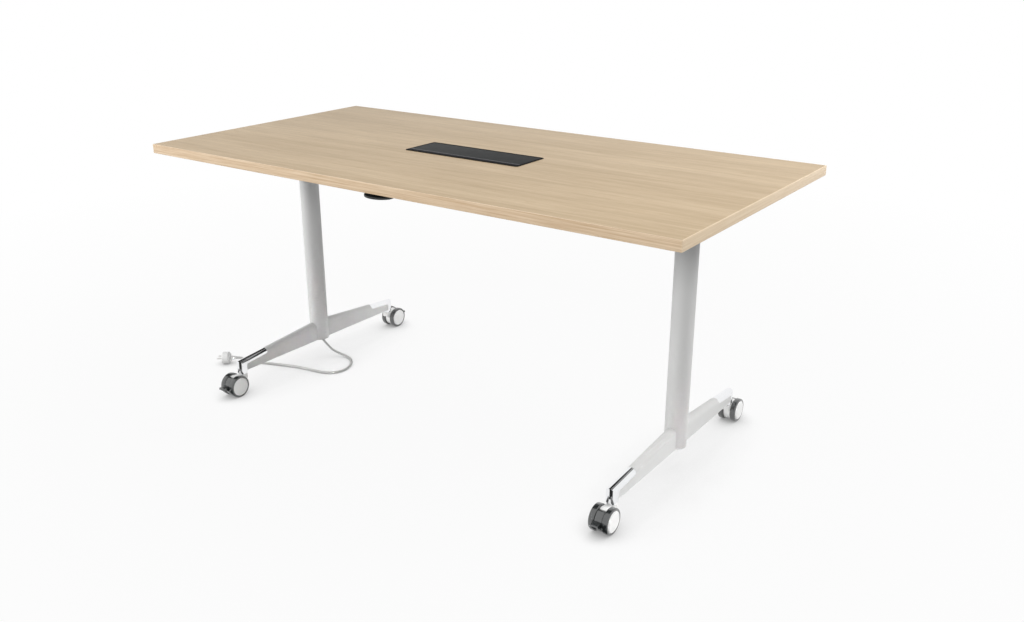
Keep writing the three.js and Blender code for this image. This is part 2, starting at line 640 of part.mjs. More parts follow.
function makeFoot(end, side, endSign, sideSign) {
  const foot = new THREE.Group();
  foot.position.set(sideSign * columnX, 0, 0);
  foot.rotation.z = endSign < 0 ? 0 : Math.PI;
  table.add(foot);

  const column = rodZ(columnRadius + SEAT_GAP, [0, TABLE_HEIGHT], 0, 0, COLUMN_SIDES);
  const arm = armEnvelope(armBottom).subtract(column).subtract(capShare(SEAT_GAP));
  add(`foot_arm_${end}_${side}`, arm, greyPaint, foot);

  const boss = rodZ(CAP_BOSS_DIAMETER / 2, [bossBottom, postBottom + OVERRUN], 0, -STEM_REACH);
  const socketRadius = STEM_DIAMETER / 2 + SEAT_GAP;
  const socketTop = bossBottom + STEM_LENGTH + SEAT_GAP;
  const socket = rodZ(socketRadius, [bossBottom - OVERRUN, socketTop], 0, -STEM_REACH);
  const cap = armEnvelope(postBottom).intersect(capShare(0)).add(boss).subtract(socket);
  add(`toe_cap_${end}_${side}`, cap, chrome, foot);
}

// Caster, drawn with its stem on the Z axis and its wheels trailing towards -Y
const wheelRadius = WHEEL_DIAMETER / 2;
const bodyRadius = wheelRadius - BODY_RIM;
const hoodRadius = wheelRadius - HOOD_RIM;
const bodyTop = bossBottom - RUN_GAP;
const wheelInner = BODY_WIDTH / 2 + WHEEL_SIDE_GAP;
const hubFloor = WHEEL_WIDTH - HUB_RECESS;

// Point at a distance and an angle from the axle
function fromAxle(radius, degrees) {
  const angle = THREE.MathUtils.degToRad(degrees);
  return [-CASTER_TRAIL - radius * Math.cos(angle), wheelRadius + radius * Math.sin(angle)];
}

function arcPoints(radius, from, to) {
  const steps = Math.ceil(Math.abs(to - from) / ARC_STEP);
  const points = [];
  for (let i = 0; i <= steps; i += 1) points.push(fromAxle(radius, from + ((to - from) * i) / steps));
  return points;
}

function makeCasterBody(name, group) {
  const neck = BODY_NECK / 2;
  const profile = outline([
    [neck, bodyTop], [-neck, bodyTop],
    ...arcPoints(bodyRadius, BODY_CROWN_ANGLE, BODY_REAR_ANGLE),
    ...arcPoints(AXLE_BOSS_RADIUS, BODY_REAR_ANGLE, BODY_LOW_ANGLE),
    ...arcPoints(bodyRadius, BODY_LOW_ANGLE, BODY_FRONT_ANGLE),
    [neck, bodyTop - NECK_HEIGHT],
  ]);
  const half = BODY_WIDTH / 2;
  const stem = rodZ(STEM_DIAMETER / 2, [bodyTop - OVERRUN, bossBottom + STEM_LENGTH], 0, 0);
  const axleEnd = wheelInner + hubFloor - SEAT_GAP;
  const axle = rodX(AXLE_DIAMETER / 2, [-axleEnd, axleEnd], ...fromAxle(0, 0));
  const pivot = fromAxle(KNUCKLE_REACH, KNUCKLE_ANGLE);
  const groove = rodX(KNUCKLE_RADIUS + RUN_GAP, [-BODY_WIDTH, BODY_WIDTH], ...pivot);
  const body = prismX(profile, [-half, half]).subtract(groove).add(stem).add(axle);
  add(`${name}_body`, body, whitePlastic, group);
}

function makeBrakePedal(name, group) {
  const inner = hoodRadius - HOOD_WALL;
  const low = PEDAL_THICKNESS / 2;
  const [tipY, tipZ] = fromAxle(PEDAL_REACH, PEDAL_TIP_ANGLE);
  const profile = outline([
    ...arcPoints(hoodRadius, HOOD_TOP_ANGLE, PEDAL_ROOT_ANGLE),
    [tipY + PEDAL_TIP_ROUND, tipZ + low], [tipY, tipZ + low / 2],
    [tipY, tipZ - low / 2], [tipY + PEDAL_TIP_ROUND, tipZ - low],
    ...arcPoints(hoodRadius, -PEDAL_ROOT_ANGLE, HOOD_LOW_ANGLE),
    ...arcPoints(inner, HOOD_LOW_ANGLE, HOOD_TOP_ANGLE),
  ]);
  const half = BODY_WIDTH / 2;
  const knuckle = rodX(KNUCKLE_RADIUS, [-half, half], ...fromAxle(KNUCKLE_REACH, KNUCKLE_ANGLE));
  add(`${name}_brake_pedal`, prismX(profile, [-half, half]).add(knuckle), darkPlastic, group);
}

function makeWheel(name, which, localSign, group) {
  const bore = AXLE_DIAMETER / 2 + SEAT_GAP;
  const seat = HUB_DIAMETER / 2 + SEAT_GAP;
  const tyre = turned([
    [bore, 0], [wheelRadius - TREAD_ROUND, 0], [wheelRadius, TREAD_ROUND],
    [wheelRadius, WHEEL_WIDTH - TREAD_ROUND], [wheelRadius - TREAD_ROUND, WHEEL_WIDTH],
    [seat, WHEEL_WIDTH], [seat, hubFloor], [bore, hubFloor], [bore, 0],
  ], WHEEL_SIDES);
  const hubRadius = HUB_DIAMETER / 2;
  const hubFace = WHEEL_WIDTH + HUB_PROUD;
  const hub = turned([
    [0, hubFloor + SEAT_GAP], [hubRadius, hubFloor + SEAT_GAP], [hubRadius, WHEEL_WIDTH],
    [hubRadius - 2 * HUB_PROUD, hubFace], [0, hubFace],
  ], WHEEL_SIDES);
  for (const [piece, shape, material] of [['wheel', tyre, tyreRubber], ['hub', hub, whitePlastic]]) {
    shape.rotateZ(-Math.PI / 2).translate(wheelInner, 0, 0);
    if (localSign < 0) shape.rotateZ(Math.PI);
    shape.translate(0, ...fromAxle(0, 0));
    add(`${name}_${piece}_${which}`, solid(shape), material, group);
  }
}

function makeCaster(end, side, endSign, sideSign) {
  const name = `caster_${end}_${side}`;
  const group = new THREE.Group();
  group.position.set(sideSign * columnX, endSign * STEM_REACH, 0);
  group.rotation.z = endSign < 0 ? 0 : Math.PI;
  table.add(group);
  makeCasterBody(name, group);
  makeBrakePedal(name, group);
  for (const localSign of [-1, 1]) {
    const worldSign = endSign < 0 ? localSign : -localSign;
    makeWheel(name, worldSign === sideSign ? 'outer' : 'inner', localSign, group);
  }
}

// Column plugs: the left one holds the cord's tapered gland inside the column's mouth
function makeColumnPlugs() {
  const radius = columnBore - SEAT_GAP;
  const glandTop = GLAND_HEIGHT + GLAND_LENGTH;
  const gland = turned([
    [0, GLAND_HEIGHT], [CORD_DIAMETER / 2 + GLAND_NOSE_WALL, GLAND_HEIGHT], [GLAND_DIAMETER / 2, glandTop],
    [radius, glandTop], [radius, glandTop + COLUMN_PLUG_THICKNESS], [0, glandTop + COLUMN_PLUG_THICKNESS],
  ], COLUMN_SIDES);
  add('column_plug_left', solid(gland.rotateX(Math.PI / 2).translate(-columnX, 0, 0)), greyPaint);
  const foot = [armBottom, armBottom + COLUMN_PLUG_THICKNESS];
  add('column_plug_right', rodZ(radius, foot, columnX, 0, COLUMN_SIDES), greyPaint);
}

// Mains cord: out of the left column's foot, down to the floor, round a loop and back to its plug.
// Its points are measured from the column's axis and the floor.
const CORD_ROUTE = [
  [0, 0, 81.7], [0, 0, 78], [1.6, 1.5, 70.5], [6.2, 5.3, 61.5], [14.4, 11, 47.5], [21.4, 15.4, 37.5],
  [28, 20, 28.5], [35, 25.8, 21], [43, 32, 14.8], [53, 37.6, 9.6], [67, 41, 5.8], [85, 38.5, 4.2],
  [105, 27, 3.9], [122, 8, 3.9], [134, -16, 3.9], [137.5, -40, 3.9], [132, -62, 3.9], [118, -79, 3.9],
  [96, -89.5, 3.9], [71, -94.5, 3.9], [46, -98, 3.9], [-2, -107, 3.9], [-50, -123, 3.9], [-99, -141, 3.9],
  [-126, -152, 4.4], [-145, -163, 8.2], [-158, -173.2, 13.8], [-167, -180.2, 17.8],
  [-174.3, -185.4, 19.2], [-180.8, -190, 19.2],
];
const cordPoints = CORD_ROUTE.map(([x, y, z]) => [x - columnX, y, z]);

function makeCordAndPlug() {
  add('power_cord', tubeAlong(cordPoints, CORD_DIAMETER, CORD_STEPS), paleCord);

  const [tail, end] = cordPoints.slice(-2).map((p) => new THREE.Vector3(...p));
  const forward = end.clone().sub(tail).setZ(0).normalize();
  const plugRadius = PLUG_DIAMETER / 2;
  const cordRadius = CORD_DIAMETER / 2;
  const shoulder = PLUG_SLEEVE + PLUG_ROUND + PLUG_SHOULDER_LENGTH;
  const face = PLUG_SLEEVE + PLUG_BODY;
  const shell = turned([
    [0, SEAT_GAP], [cordRadius + SLEEVE_NOSE_WALL, SEAT_GAP], [cordRadius + SLEEVE_ROOT_WALL, PLUG_SLEEVE],
    [plugRadius - PLUG_SHOULDER, PLUG_SLEEVE + PLUG_ROUND], [plugRadius, shoulder],
    [plugRadius, face - PLUG_ROUND], [plugRadius - PLUG_ROUND, face], [0, face],
  ], ROUND_SIDES);
  let plug = solid(shell);
  for (const sign of [-1, 1]) {
    const pinEnds = [face - OVERRUN, face + PLUG_PIN_LENGTH];
    plug = plug.add(rodY(PLUG_PIN_DIAMETER / 2, pinEnds, sign * PLUG_PIN_SPACING / 2, 0, SMALL_SIDES));
  }
  const sideways = new THREE.Vector3().crossVectors(forward, Z_AXIS);
  const mesh = new THREE.Mesh(geometryOf(plug), whitePlastic());
  mesh.name = 'mains_plug';
  mesh.position.copy(end);
  mesh.quaternion.setFromRotationMatrix(new THREE.Matrix4().makeBasis(sideways, forward, Z_AXIS));
  table.add(mesh);
}

// Assembly
makeTop();
makePowerTray();
makePowerLid();
makeCrossBeam();
makeHandle();
makeModuleLead();
for (const [side, sideSign] of SIDES) {
  makeColumn(side, sideSign);
  makeColumnHead(side, sideSign);
  makeHingePin(side, sideSign);
  makeHingeBracket(side, sideSign);
  makeReleaseCable(side, sideSign);
  for (const [end, endSign] of ENDS) {
    makeFoot(end, side, endSign, sideSign);
    makeCaster(end, side, endSign, sideSign);
  }
}
makeColumnPlugs();
makeCordAndPlug();

export default table;
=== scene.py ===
import json
import math

import bmesh
import bpy
from mathutils import Matrix, Vector


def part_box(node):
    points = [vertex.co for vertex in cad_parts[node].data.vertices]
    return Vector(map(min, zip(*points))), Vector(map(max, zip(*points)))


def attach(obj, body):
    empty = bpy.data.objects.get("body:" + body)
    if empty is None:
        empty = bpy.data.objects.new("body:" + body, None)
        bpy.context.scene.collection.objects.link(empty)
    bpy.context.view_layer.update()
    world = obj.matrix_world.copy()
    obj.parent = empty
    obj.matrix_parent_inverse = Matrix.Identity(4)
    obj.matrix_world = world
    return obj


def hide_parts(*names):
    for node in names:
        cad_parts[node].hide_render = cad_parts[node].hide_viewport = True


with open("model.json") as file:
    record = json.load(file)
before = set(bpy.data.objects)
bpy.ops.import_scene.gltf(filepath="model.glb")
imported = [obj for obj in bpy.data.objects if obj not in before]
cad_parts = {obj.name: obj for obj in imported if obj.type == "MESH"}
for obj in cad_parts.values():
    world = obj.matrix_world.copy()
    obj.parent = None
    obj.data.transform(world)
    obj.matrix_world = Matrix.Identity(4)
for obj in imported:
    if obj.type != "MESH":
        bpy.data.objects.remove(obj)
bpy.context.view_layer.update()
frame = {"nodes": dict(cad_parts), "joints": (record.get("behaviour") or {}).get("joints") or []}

scene = bpy.context.scene
scene.view_settings.view_transform = "Standard"

# Camera
# The photograph is taken from the front right, a little above the table, through a short lens.
CAMERA_PLACE = (1.588, -2.070, 1.271)
CAMERA_TURN = math.radians(35.28)
CAMERA_DIP = math.radians(20.58)
CAMERA_LENS = 35.39
FILM_WIDTH = 36

camera = bpy.data.objects.new("camera", bpy.data.cameras.new("camera"))
camera.data.lens = CAMERA_LENS
camera.data.sensor_width = FILM_WIDTH
camera.location = CAMERA_PLACE
camera.rotation_euler = (math.pi / 2 - CAMERA_DIP, 0, CAMERA_TURN)
scene.collection.objects.link(camera)
scene.camera = camera

# Mains cord
# A round flexible lead in a pale plastic sheath. It leaves the foot of the left column, drops to the
# floor, runs round a wide loop under the table and comes back past the front foot to its plug.
MM = 0.001
CORD_DIAMETER = 7.2 * MM
# Measured in millimetres from the left column's axis and the floor
CORD_ROUTE = [
    (0, 0, 81.7), (0, 0, 78), (1.6, 1.5, 70.5), (6.2, 5.3, 61.5), (14.4, 11, 47.5), (21.4, 15.4, 37.5),
    (28, 20, 28.5), (35, 25.8, 21), (43, 32, 14.8), (53, 37.6, 9.6), (67, 41, 5.8), (85, 38.5, 4.2),
    (105, 27, 3.9), (122, 8, 3.9), (134, -16, 3.9), (137.5, -40, 3.9), (132, -62, 3.9), (118, -79, 3.9),
    (96, -89.5, 3.9), (71, -94.5, 3.9), (46, -98, 3.9), (-2, -107, 3.9), (-50, -123, 3.9), (-99, -141, 3.9),
    (-126, -152, 4.4), (-145, -163, 8.2), (-158, -173.2, 13.8), (-167, -180.2, 17.8),
    (-174.3, -185.4, 19.2), (-180.8, -190, 19.2),
]


class Value:
    """A socket in a finish's nodes. Sums and products of values add their own Math nodes."""

    def __init__(self, finish, socket):
        self.finish = finish
        self.socket = socket

    def maths(self, operation, first, second):
        return self.finish.node("ShaderNodeMath", {"operation": operation}, {0: first, 1: second})

    def __add__(self, other):
        return self.maths("ADD", self, other)

    def __radd__(self, other):
        return self.maths("ADD", other, self)

    def __sub__(self, other):
        return self.maths("SUBTRACT", self, other)

    def __rsub__(self, other):
        return self.maths("SUBTRACT", other, self)

    def __mul__(self, other):
        return self.maths("MULTIPLY", self, other)

    def __rmul__(self, other):
        return self.maths("MULTIPLY", other, self)


class Finish:
    """A procedural material, whose patterns are read from each piece's own place on the table."""

    def __init__(self, name, constants):
        self.material = bpy.data.materials.new(name)
        self.material.use_nodes = True
        self.nodes = self.material.node_tree.nodes
        self.links = self.material.node_tree.links
        self.shader = self.nodes["Principled BSDF"]
        self.dress(constants)

    def dress(self, sockets):
        """Sets or links sockets of the shader."""
        self.fill(self.shader, sockets)

    def fill(self, node, sockets):
        """Sets or links a node's sockets, each named or counted among those that are in use."""
        for name, value in sockets.items():
            in_use = [socket for socket in node.inputs if socket.enabled]
            names = [socket.name for socket in in_use]
            socket = in_use[name if isinstance(name, int) else names.index(name)]
            if isinstance(value, Value):
                self.links.new(value.socket, socket)
            else:
                socket.default_value = value

    def node(self, kind, settings=None, sockets=None, output=0):
        """Adds a node of any kind: first its settings, then the values or links of its sockets."""
        node = self.nodes.new(kind)
        for name, value in (settings or {}).items():
            setattr(node, name, value)
        self.fill(node, sockets or {})
        in_use = [socket for socket in node.outputs if socket.enabled]
        names = [socket.name for socket in in_use]
        return Value(self, in_use[output if isinstance(output, int) else names.index(output)])

    def place(self, stretch=(1, 1, 1)):
        """The place on the table in metres, multiplied along each axis."""
        point = self.node("ShaderNodeTexCoord", output="Object")
        return self.node("ShaderNodeMapping", {}, {"Vector": point, "Scale": stretch})

    def noise(self, scale, detail=2, stretch=(1, 1, 1)):
        sockets = {"Vector": self.place(stretch), "Scale": scale, "Detail": detail}
        return self.node("ShaderNodeTexNoise", {}, sockets)

    def between(self, value, low, high):
        """0 where a value is below low, 1 where it is above high."""
        return self.node("ShaderNodeMapRange", {}, {"Value": value, "From Min": low, "From Max": high})

    def mix(self, share, first, second, way="MIX"):
        settings = {"data_type": "RGBA", "blend_type": way}
        return self.node("ShaderNodeMix", settings, {"Factor": share, "A": first, "B": second})

    def bump(self, height, depth):
        return self.node("ShaderNodeBump", {}, {"Height": height, "Distance": depth})


def colour(red, green, blue):
    """A colour as it reads on a screen, from 0 to 255, as light."""
    shares = [part / 255 for part in (red, green, blue)]
    return (*(c / 12.92 if c <= 0.04045 else ((c + 0.055) / 1.055) ** 2.4 for c in shares), 1)


pale_sheath = Finish("pale_sheath", {"Specular IOR Level": 0.4})
sheath_mottle = pale_sheath.noise(140, 3)
pale_sheath.dress({
    "Base Color": pale_sheath.mix(sheath_mottle, colour(200, 200, 198), colour(220, 220, 218)),
    "Roughness": 0.4 + 0.2 * sheath_mottle,
    "Normal": pale_sheath.bump(pale_sheath.noise(1800), 0.02 * MM),
})

column_low, column_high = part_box("column_left")
column_x = -(column_low.x + column_high.x) / 2
cord_points = [Vector((x * MM - column_x, y * MM, z * MM)) for x, y, z in CORD_ROUTE]
cord_curve = bpy.data.curves.new("cord_sheath", "CURVE")
cord_curve.dimensions = "3D"
cord_curve.bevel_depth = CORD_DIAMETER / 2
cord_curve.bevel_resolution = 5
cord_curve.resolution_u = 6
cord_curve.use_fill_caps = True
cord_curve.materials.append(pale_sheath.material)
cord_line = cord_curve.splines.new("BEZIER")
cord_line.bezier_points.add(len(cord_points) - 1)
for knot, point in zip(cord_line.bezier_points, cord_points):
    knot.co = point
    knot.handle_left_type = "AUTO"
    knot.handle_right_type = "AUTO"
cord = bpy.data.objects.new("cord_sheath", cord_curve)
scene.collection.objects.link(cord)
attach(cord, "base")
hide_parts("power_cord")

# Mains plug
# A round two-pin plug moulded in white plastic onto the cord, with a ribbed sleeve that keeps the cord
# from kinking. Its two nickelled pins are moulded in.
PLUG_DIAMETER = 37.8 * MM
PLUG_SLEEVE = 16 * MM
PLUG_FACE = 43 * MM
PLUG_START = 0.3 * MM
SLEEVE_RINGS = 4
PIN_DIAMETER = 4.8 * MM
PIN_LENGTH = 17 * MM
PIN_SPACING = 19 * MM


def rounded(corners, steps=5):
    """A closed outline of (across, along, radius) corners, each rounded to its radius."""
    outline = []
    for i, (across, along, radius) in enumerate(corners):
        here = Vector((across, along))
        if radius == 0:
            outline.append(here)
            continue
        back = (Vector(corners[i - 1][:2]) - here).normalized()
        ahead = (Vector(corners[(i + 1) % len(corners)][:2]) - here).normalized()
        half = back.angle(ahead) / 2
        centre = here + (back + ahead).normalized() * (radius / math.sin(half))
        start = here + back * (radius / math.tan(half)) - centre
        end = here + ahead * (radius / math.tan(half)) - centre
        outline += [centre + radius * start.slerp(end, k / steps) for k in range(steps + 1)]
    return outline


def skin(bm, rows):
    """Faces between each row of vertices and the next, round and round."""
    for row, following in zip(rows, rows[1:]):
        for k in range(max(len(row), len(following))):
            corners = [row[k % len(row)], row[(k + 1) % len(row)]]
            corners += [following[(k + 1) % len(following)], following[k % len(following)]]
            corners = list(dict.fromkeys(corners))
            if len(corners) > 2:
                bm.faces.new(corners)


def turned(profile, origin, axis, sides=64):
    """A solid spun round an axis from a closed outline of (radius, distance along the axis) points."""
    bm = bmesh.new()
    turn = Vector(axis).to_track_quat("Z", "Y")
    rows = []
    for radius, along in profile:
        count = sides if radius > 1e-7 else 1
        angles = [2 * math.pi * k / count for k in range(count)]
        ring = [Vector((radius * math.cos(a), radius * math.sin(a), along)) for a in angles]
        rows.append([bm.verts.new(Vector(origin) + turn @ point) for point in ring])
    skin(bm, rows + rows[:1])
    return bm


def fit(name, bm, finish, body, slot, *nodes, crease=35):
    """Makes a piece of the table from its mesh, in the place of its nodes on a body."""
    bmesh.ops.remove_doubles(bm, verts=bm.verts, dist=1e-6)
    bmesh.ops.recalc_face_normals(bm, faces=bm.faces)
    mesh = bpy.data.meshes.new(name)
    bm.to_mesh(mesh)
    bm.free()
    mesh.polygons.foreach_set("use_smooth", [True] * len(mesh.polygons))
    mesh.set_sharp_from_angle(angle=math.radians(crease))
    mesh.materials.append(finish.material)
    piece = bpy.data.objects.new(name, mesh)
    scene.collection.objects.link(piece)
    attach(piece, body)
    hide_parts(*nodes)
    return piece


white_moulding = Finish("white_moulding", {"Specular IOR Level": 0.45, "Coat Weight": 1, "Coat IOR": 1.6,
                                           "Coat Roughness": 0.15})
white_mottle = white_moulding.noise(60, 3)
white_moulding.dress({
    "Base Color": white_moulding.mix(white_mottle, colour(242, 242, 241), colour(249, 249, 248)),
    "Roughness": 0.3 + 0.18 * white_mottle,
    "Normal": white_moulding.bump(white_moulding.noise(2600), 0.012 * MM),
})

zinc_steel = Finish("zinc_steel", {"Metallic": 1.0})
spangle = zinc_steel.node(
    "ShaderNodeTexVoronoi", {"feature": "F1"}, {"Vector": zinc_steel.place(), "Scale": 420}, "Distance",
)
zinc_cloud = zinc_steel.noise(90, 3)
zinc_steel.dress({
    "Base Color": zinc_steel.mix(zinc_cloud, colour(150, 152, 155), colour(196, 198, 200)),
    "Roughness": 0.26 + 0.2 * zinc_cloud + 0.08 * spangle,
    "Normal": zinc_steel.bump(spangle, 0.01 * MM),
})

nickel_plate = Finish("nickel_plate", {"Metallic": 1.0})
nickel_cloud = nickel_plate.noise(120, 3)
nickel_plate.dress({
    "Base Color": nickel_plate.mix(nickel_cloud, colour(228, 227, 224), colour(242, 241, 239)),
    "Roughness": 0.24 + 0.14 * nickel_cloud,
})

plug_start = cord_points[-1]
plug_way = plug_start - cord_points[-2]
plug_way.z = 0
plug_way.normalize()
sleeve_nose = CORD_DIAMETER / 2 + 1 * MM
sleeve_root = CORD_DIAMETER / 2 + 3 * MM
ring_pitch = (PLUG_SLEEVE - 3 * MM) / SLEEVE_RINGS
sleeve = [(0, PLUG_START, 0), (sleeve_nose, PLUG_START, 0.3 * MM)]
for ring in range(SLEEVE_RINGS):
    along = PLUG_START + 1.6 * MM + ring * ring_pitch
    radius = sleeve_nose + (sleeve_root - sleeve_nose) * along / PLUG_SLEEVE
    sleeve += [(radius, along, 0.2 * MM), (radius - 0.8 * MM, along + 0.5 * MM, 0.2 * MM)]
    sleeve += [(radius - 0.7 * MM, along + 1.5 * MM, 0.2 * MM), (radius + 0.2 * MM, along + 2 * MM, 0.2 * MM)]
plug_radius = PLUG_DIAMETER / 2
plug_outline = rounded([
    *sleeve,
    (sleeve_root, PLUG_SLEEVE, 0.6 * MM),
    (plug_radius - 5 * MM, PLUG_SLEEVE + 2 * MM, 2 * MM),
    (plug_radius, PLUG_SLEEVE + 8 * MM, 3 * MM),
    (plug_radius, PLUG_FACE, 2 * MM),
    (0, PLUG_FACE, 0),
])
plug = fit("plug_moulding", turned(plug_outline, plug_start, plug_way), white_moulding, "base",
           "white_plastic", "mains_plug")

pin_outline = rounded([
    (0, PLUG_FACE - 1 * MM, 0), (PIN_DIAMETER / 2, PLUG_FACE - 1 * MM, 0),
    (PIN_DIAMETER / 2, PLUG_FACE + PIN_LENGTH, 2 * MM), (0, PLUG_FACE + PIN_LENGTH, 0),
])
for hand, side in (("left", -1), ("right", 1)):
    across = plug_way.cross(Vector((0, 0, 1))) * (side * PIN_SPACING / 2)
    pin = turned(pin_outline, plug_start + across, plug_way, sides=32)
    fit("plug_pin_" + hand, pin, nickel_plate, "base", "steel")

# Columns
# Two straight round steel tubes, powder coated in light silver grey. The foot arms are welded to their
# lower ends, and the hinge heads are pressed into their tops.
COLUMN_WALL = 3 * MM
COLUMN_EASE = 0.6 * MM
COLUMN_SIDES = 128
SIDES = {"left": -1, "right": 1}

grey_paint = Finish("grey_paint", {"Specular IOR Level": 0.3})
paint_cloud = grey_paint.noise(7, 3)
paint_peel = grey_paint.noise(700, 2)
grey_paint.dress({
    "Base Color": grey_paint.mix(paint_cloud, colour(208, 208, 207), colour(216, 216, 215)),
    "Roughness": 0.36 + 0.1 * paint_cloud + 0.06 * paint_peel,
    "Normal": grey_paint.bump(paint_peel, 0.025 * MM),
})

column_radius = (column_high.x - column_low.x) / 2
column_outline = rounded([
    (column_radius, column_low.z, COLUMN_EASE), (column_radius, column_high.z, COLUMN_EASE),
    (column_radius - COLUMN_WALL, column_high.z, COLUMN_EASE),
    (column_radius - COLUMN_WALL, column_low.z, COLUMN_EASE),
], steps=3)
for hand, side in SIDES.items():
    column = turned(column_outline, (side * column_x, 0, 0), (0, 0, 1), COLUMN_SIDES)
    fit("tube_" + hand, column, grey_paint, "base", "grey_paint", "column_" + hand)

# Column plugs
# Moulded grey discs pressed into the lower ends of the columns. The left one lets the mains cord out
# through a tapered gland with soft ribs.
GLAND_RIBS = 4

grey_moulding = Finish("grey_moulding", {"Specular IOR Level": 0.4})
grey_mottle = grey_moulding.noise(120, 3)
grey_moulding.dress({
    "Base Color": grey_moulding.mix(grey_mottle, colour(150, 152, 153), colour(166, 168, 169)),
    "Roughness": 0.45 + 0.2 * grey_mottle,
    "Normal": grey_moulding.bump(grey_moulding.noise(1500), 0.03 * MM),
})

plug_low, plug_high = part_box("column_plug_right")
disc_radius = (plug_high.x - plug_low.x) / 2
disc_thickness = plug_high.z - plug_low.z
foot_disc = rounded([
    (0, plug_low.z + 1.5 * MM, 0), (disc_radius - 5 * MM, plug_low.z + 1.5 * MM, 1 * MM),
    (disc_radius - 4 * MM, plug_low.z, 0.4 * MM), (disc_radius, plug_low.z, 0.6 * MM),
    (disc_radius, plug_high.z, 0.4 * MM), (0, plug_high.z, 0),
])
disc = turned(foot_disc, (column_x, 0, 0), (0, 0, 1), COLUMN_SIDES)
fit("foot_disc_right", disc, grey_moulding, "base", "grey_plastic", "column_plug_right")

gland_low, gland_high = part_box("column_plug_left")
gland_top = gland_high.z - disc_thickness
gland_nose = CORD_DIAMETER / 2 + 1.2 * MM
gland_root = 7.5 * MM
gland_outline = [(0, gland_low.z, 0), (gland_nose, gland_low.z, 0.4 * MM)]
gland_pitch = (gland_top - gland_low.z - 3 * MM) / GLAND_RIBS
for rib in range(GLAND_RIBS):
    height = gland_low.z + 1.5 * MM + rib * gland_pitch
    radius = gland_nose + (gland_root - gland_nose) * (height - gland_low.z) / (gland_top - gland_low.z)
    gland_outline += [(radius, height, 0.2 * MM), (radius - 0.9 * MM, height + 0.6 * MM, 0.2 * MM)]
    gland_outline += [(radius - 0.9 * MM, height + 1.8 * MM, 0.2 * MM)]
    gland_outline += [(radius + 0.3 * MM, height + 2.4 * MM, 0.2 * MM)]
gland_outline += [
    (gland_root, gland_top, 0.8 * MM), (disc_radius, gland_top, 0.6 * MM),
    (disc_radius, gland_high.z, 0.4 * MM), (0, gland_high.z, 0),
]
gland = turned(rounded(gland_outline), (-column_x, 0, 0), (0, 0, 1), COLUMN_SIDES)
fit("cord_gland", gland, grey_moulding, "base", "grey_plastic", "column_plug_left")

# Foot arms
# Pressed steel arms with upright sides and a half-round back that falls towards the toe, welded to the
# column and painted with it. A chrome cap takes the place of the paint at the toe.
ARM_STEPS = 32
ARM_EASE = 1.2 * MM
SEAM = 0.3 * MM
CAP_BAND = 13 * MM
CAP_POST_BACK = 8 * MM
CAP_CORNER = 5 * MM
ENDS = {"front": -1, "rear": 1}

arm_low, arm_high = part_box("foot_arm_front_left")
cap_low, cap_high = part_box("toe_cap_front_left")
arm_half = (arm_high.x - arm_low.x) / 2
stem_reach = -cap_low.y - arm_half
cap_start = -cap_high.y
arm_fall = (arm_high.z - cap_high.z) / (cap_start - column_radius - SEAM)


def arm_top(reach):
    """Height of the arm's back at a distance from the column's axis."""
    return cap_high.z + arm_fall * (cap_start - reach)


def drawn_in(outline, distance):
    """A closed outline moved inwards by a distance."""
    following = outline[1:] + outline[:1]
    turn = sum(a.x * b.y - b.x * a.y for a, b in zip(outline, following))
    moved = []
    for before, here, after in zip(outline[-1:] + outline[:-1], outline, following):
        sides = [(here - before).normalized(), (after - here).normalized()]
        first, second = [Vector((-s.y, s.x)) * math.copysign(1, turn) for s in sides]
        moved.append(here + (first + second) * (distance / (1 + first.dot(second))))
    return moved


def loft(rows):
    """A closed solid through rows of points, with a face on its first and its last row."""
    bm = bmesh.new()
    rows = [[bm.verts.new(point) for point in row] for row in rows]
    skin(bm, rows)
    bm.faces.new(rows[0])
    bm.faces.new(rows[-1])
    return bm


def prism(outline, span, axis, ease=0.0, steps=3):
    """A solid of one outline run along an axis, with the edges of its two ends rounded."""
    quarter = [math.pi / 2 * k / steps for k in range(steps + 1)] if ease else [math.pi / 2]
    ends = [(ease * (1 - math.sin(q)), ease * (1 - math.cos(q))) for q in quarter]
    levels = [(inset, span[0] + rise) for inset, rise in ends]
    levels += [(inset, span[1] - rise) for inset, rise in reversed(ends)]
    put = {"X": lambda p, w: (w, p.x, p.y), "Y": lambda p, w: (p.x, w, p.y), "Z": lambda p, w: (p.x, p.y, w)}
    outline = [Vector(point) for point in outline]
    return loft([[put[axis](p, w) for p in drawn_in(outline, inset)] for inset, w in levels])


def carve(bm, tool, operation="DIFFERENCE"):
    """Cuts, joins or limits one closed mesh by another, and uses both up."""
    blanks = []
    for source in (bm, tool):
        bmesh.ops.recalc_face_normals(source, faces=source.faces)
        mesh = bpy.data.meshes.new("blank")
        source.to_mesh(mesh)
        source.free()
        blanks.append(bpy.data.objects.new("blank", mesh))
        scene.collection.objects.link(blanks[-1])
    cut = blanks[0].modifiers.new("cut", "BOOLEAN")
    cut.operation = operation
    cut.solver = "EXACT"
    cut.object = blanks[1]
    graph = bpy.context.evaluated_depsgraph_get()
    result = bpy.data.meshes.new_from_object(blanks[0].evaluated_get(graph))
    shape = bmesh.new()
    shape.from_mesh(result)
    for mesh in (blanks[0].data, blanks[1].data, result):
        bpy.data.meshes.remove(mesh)
    return shape


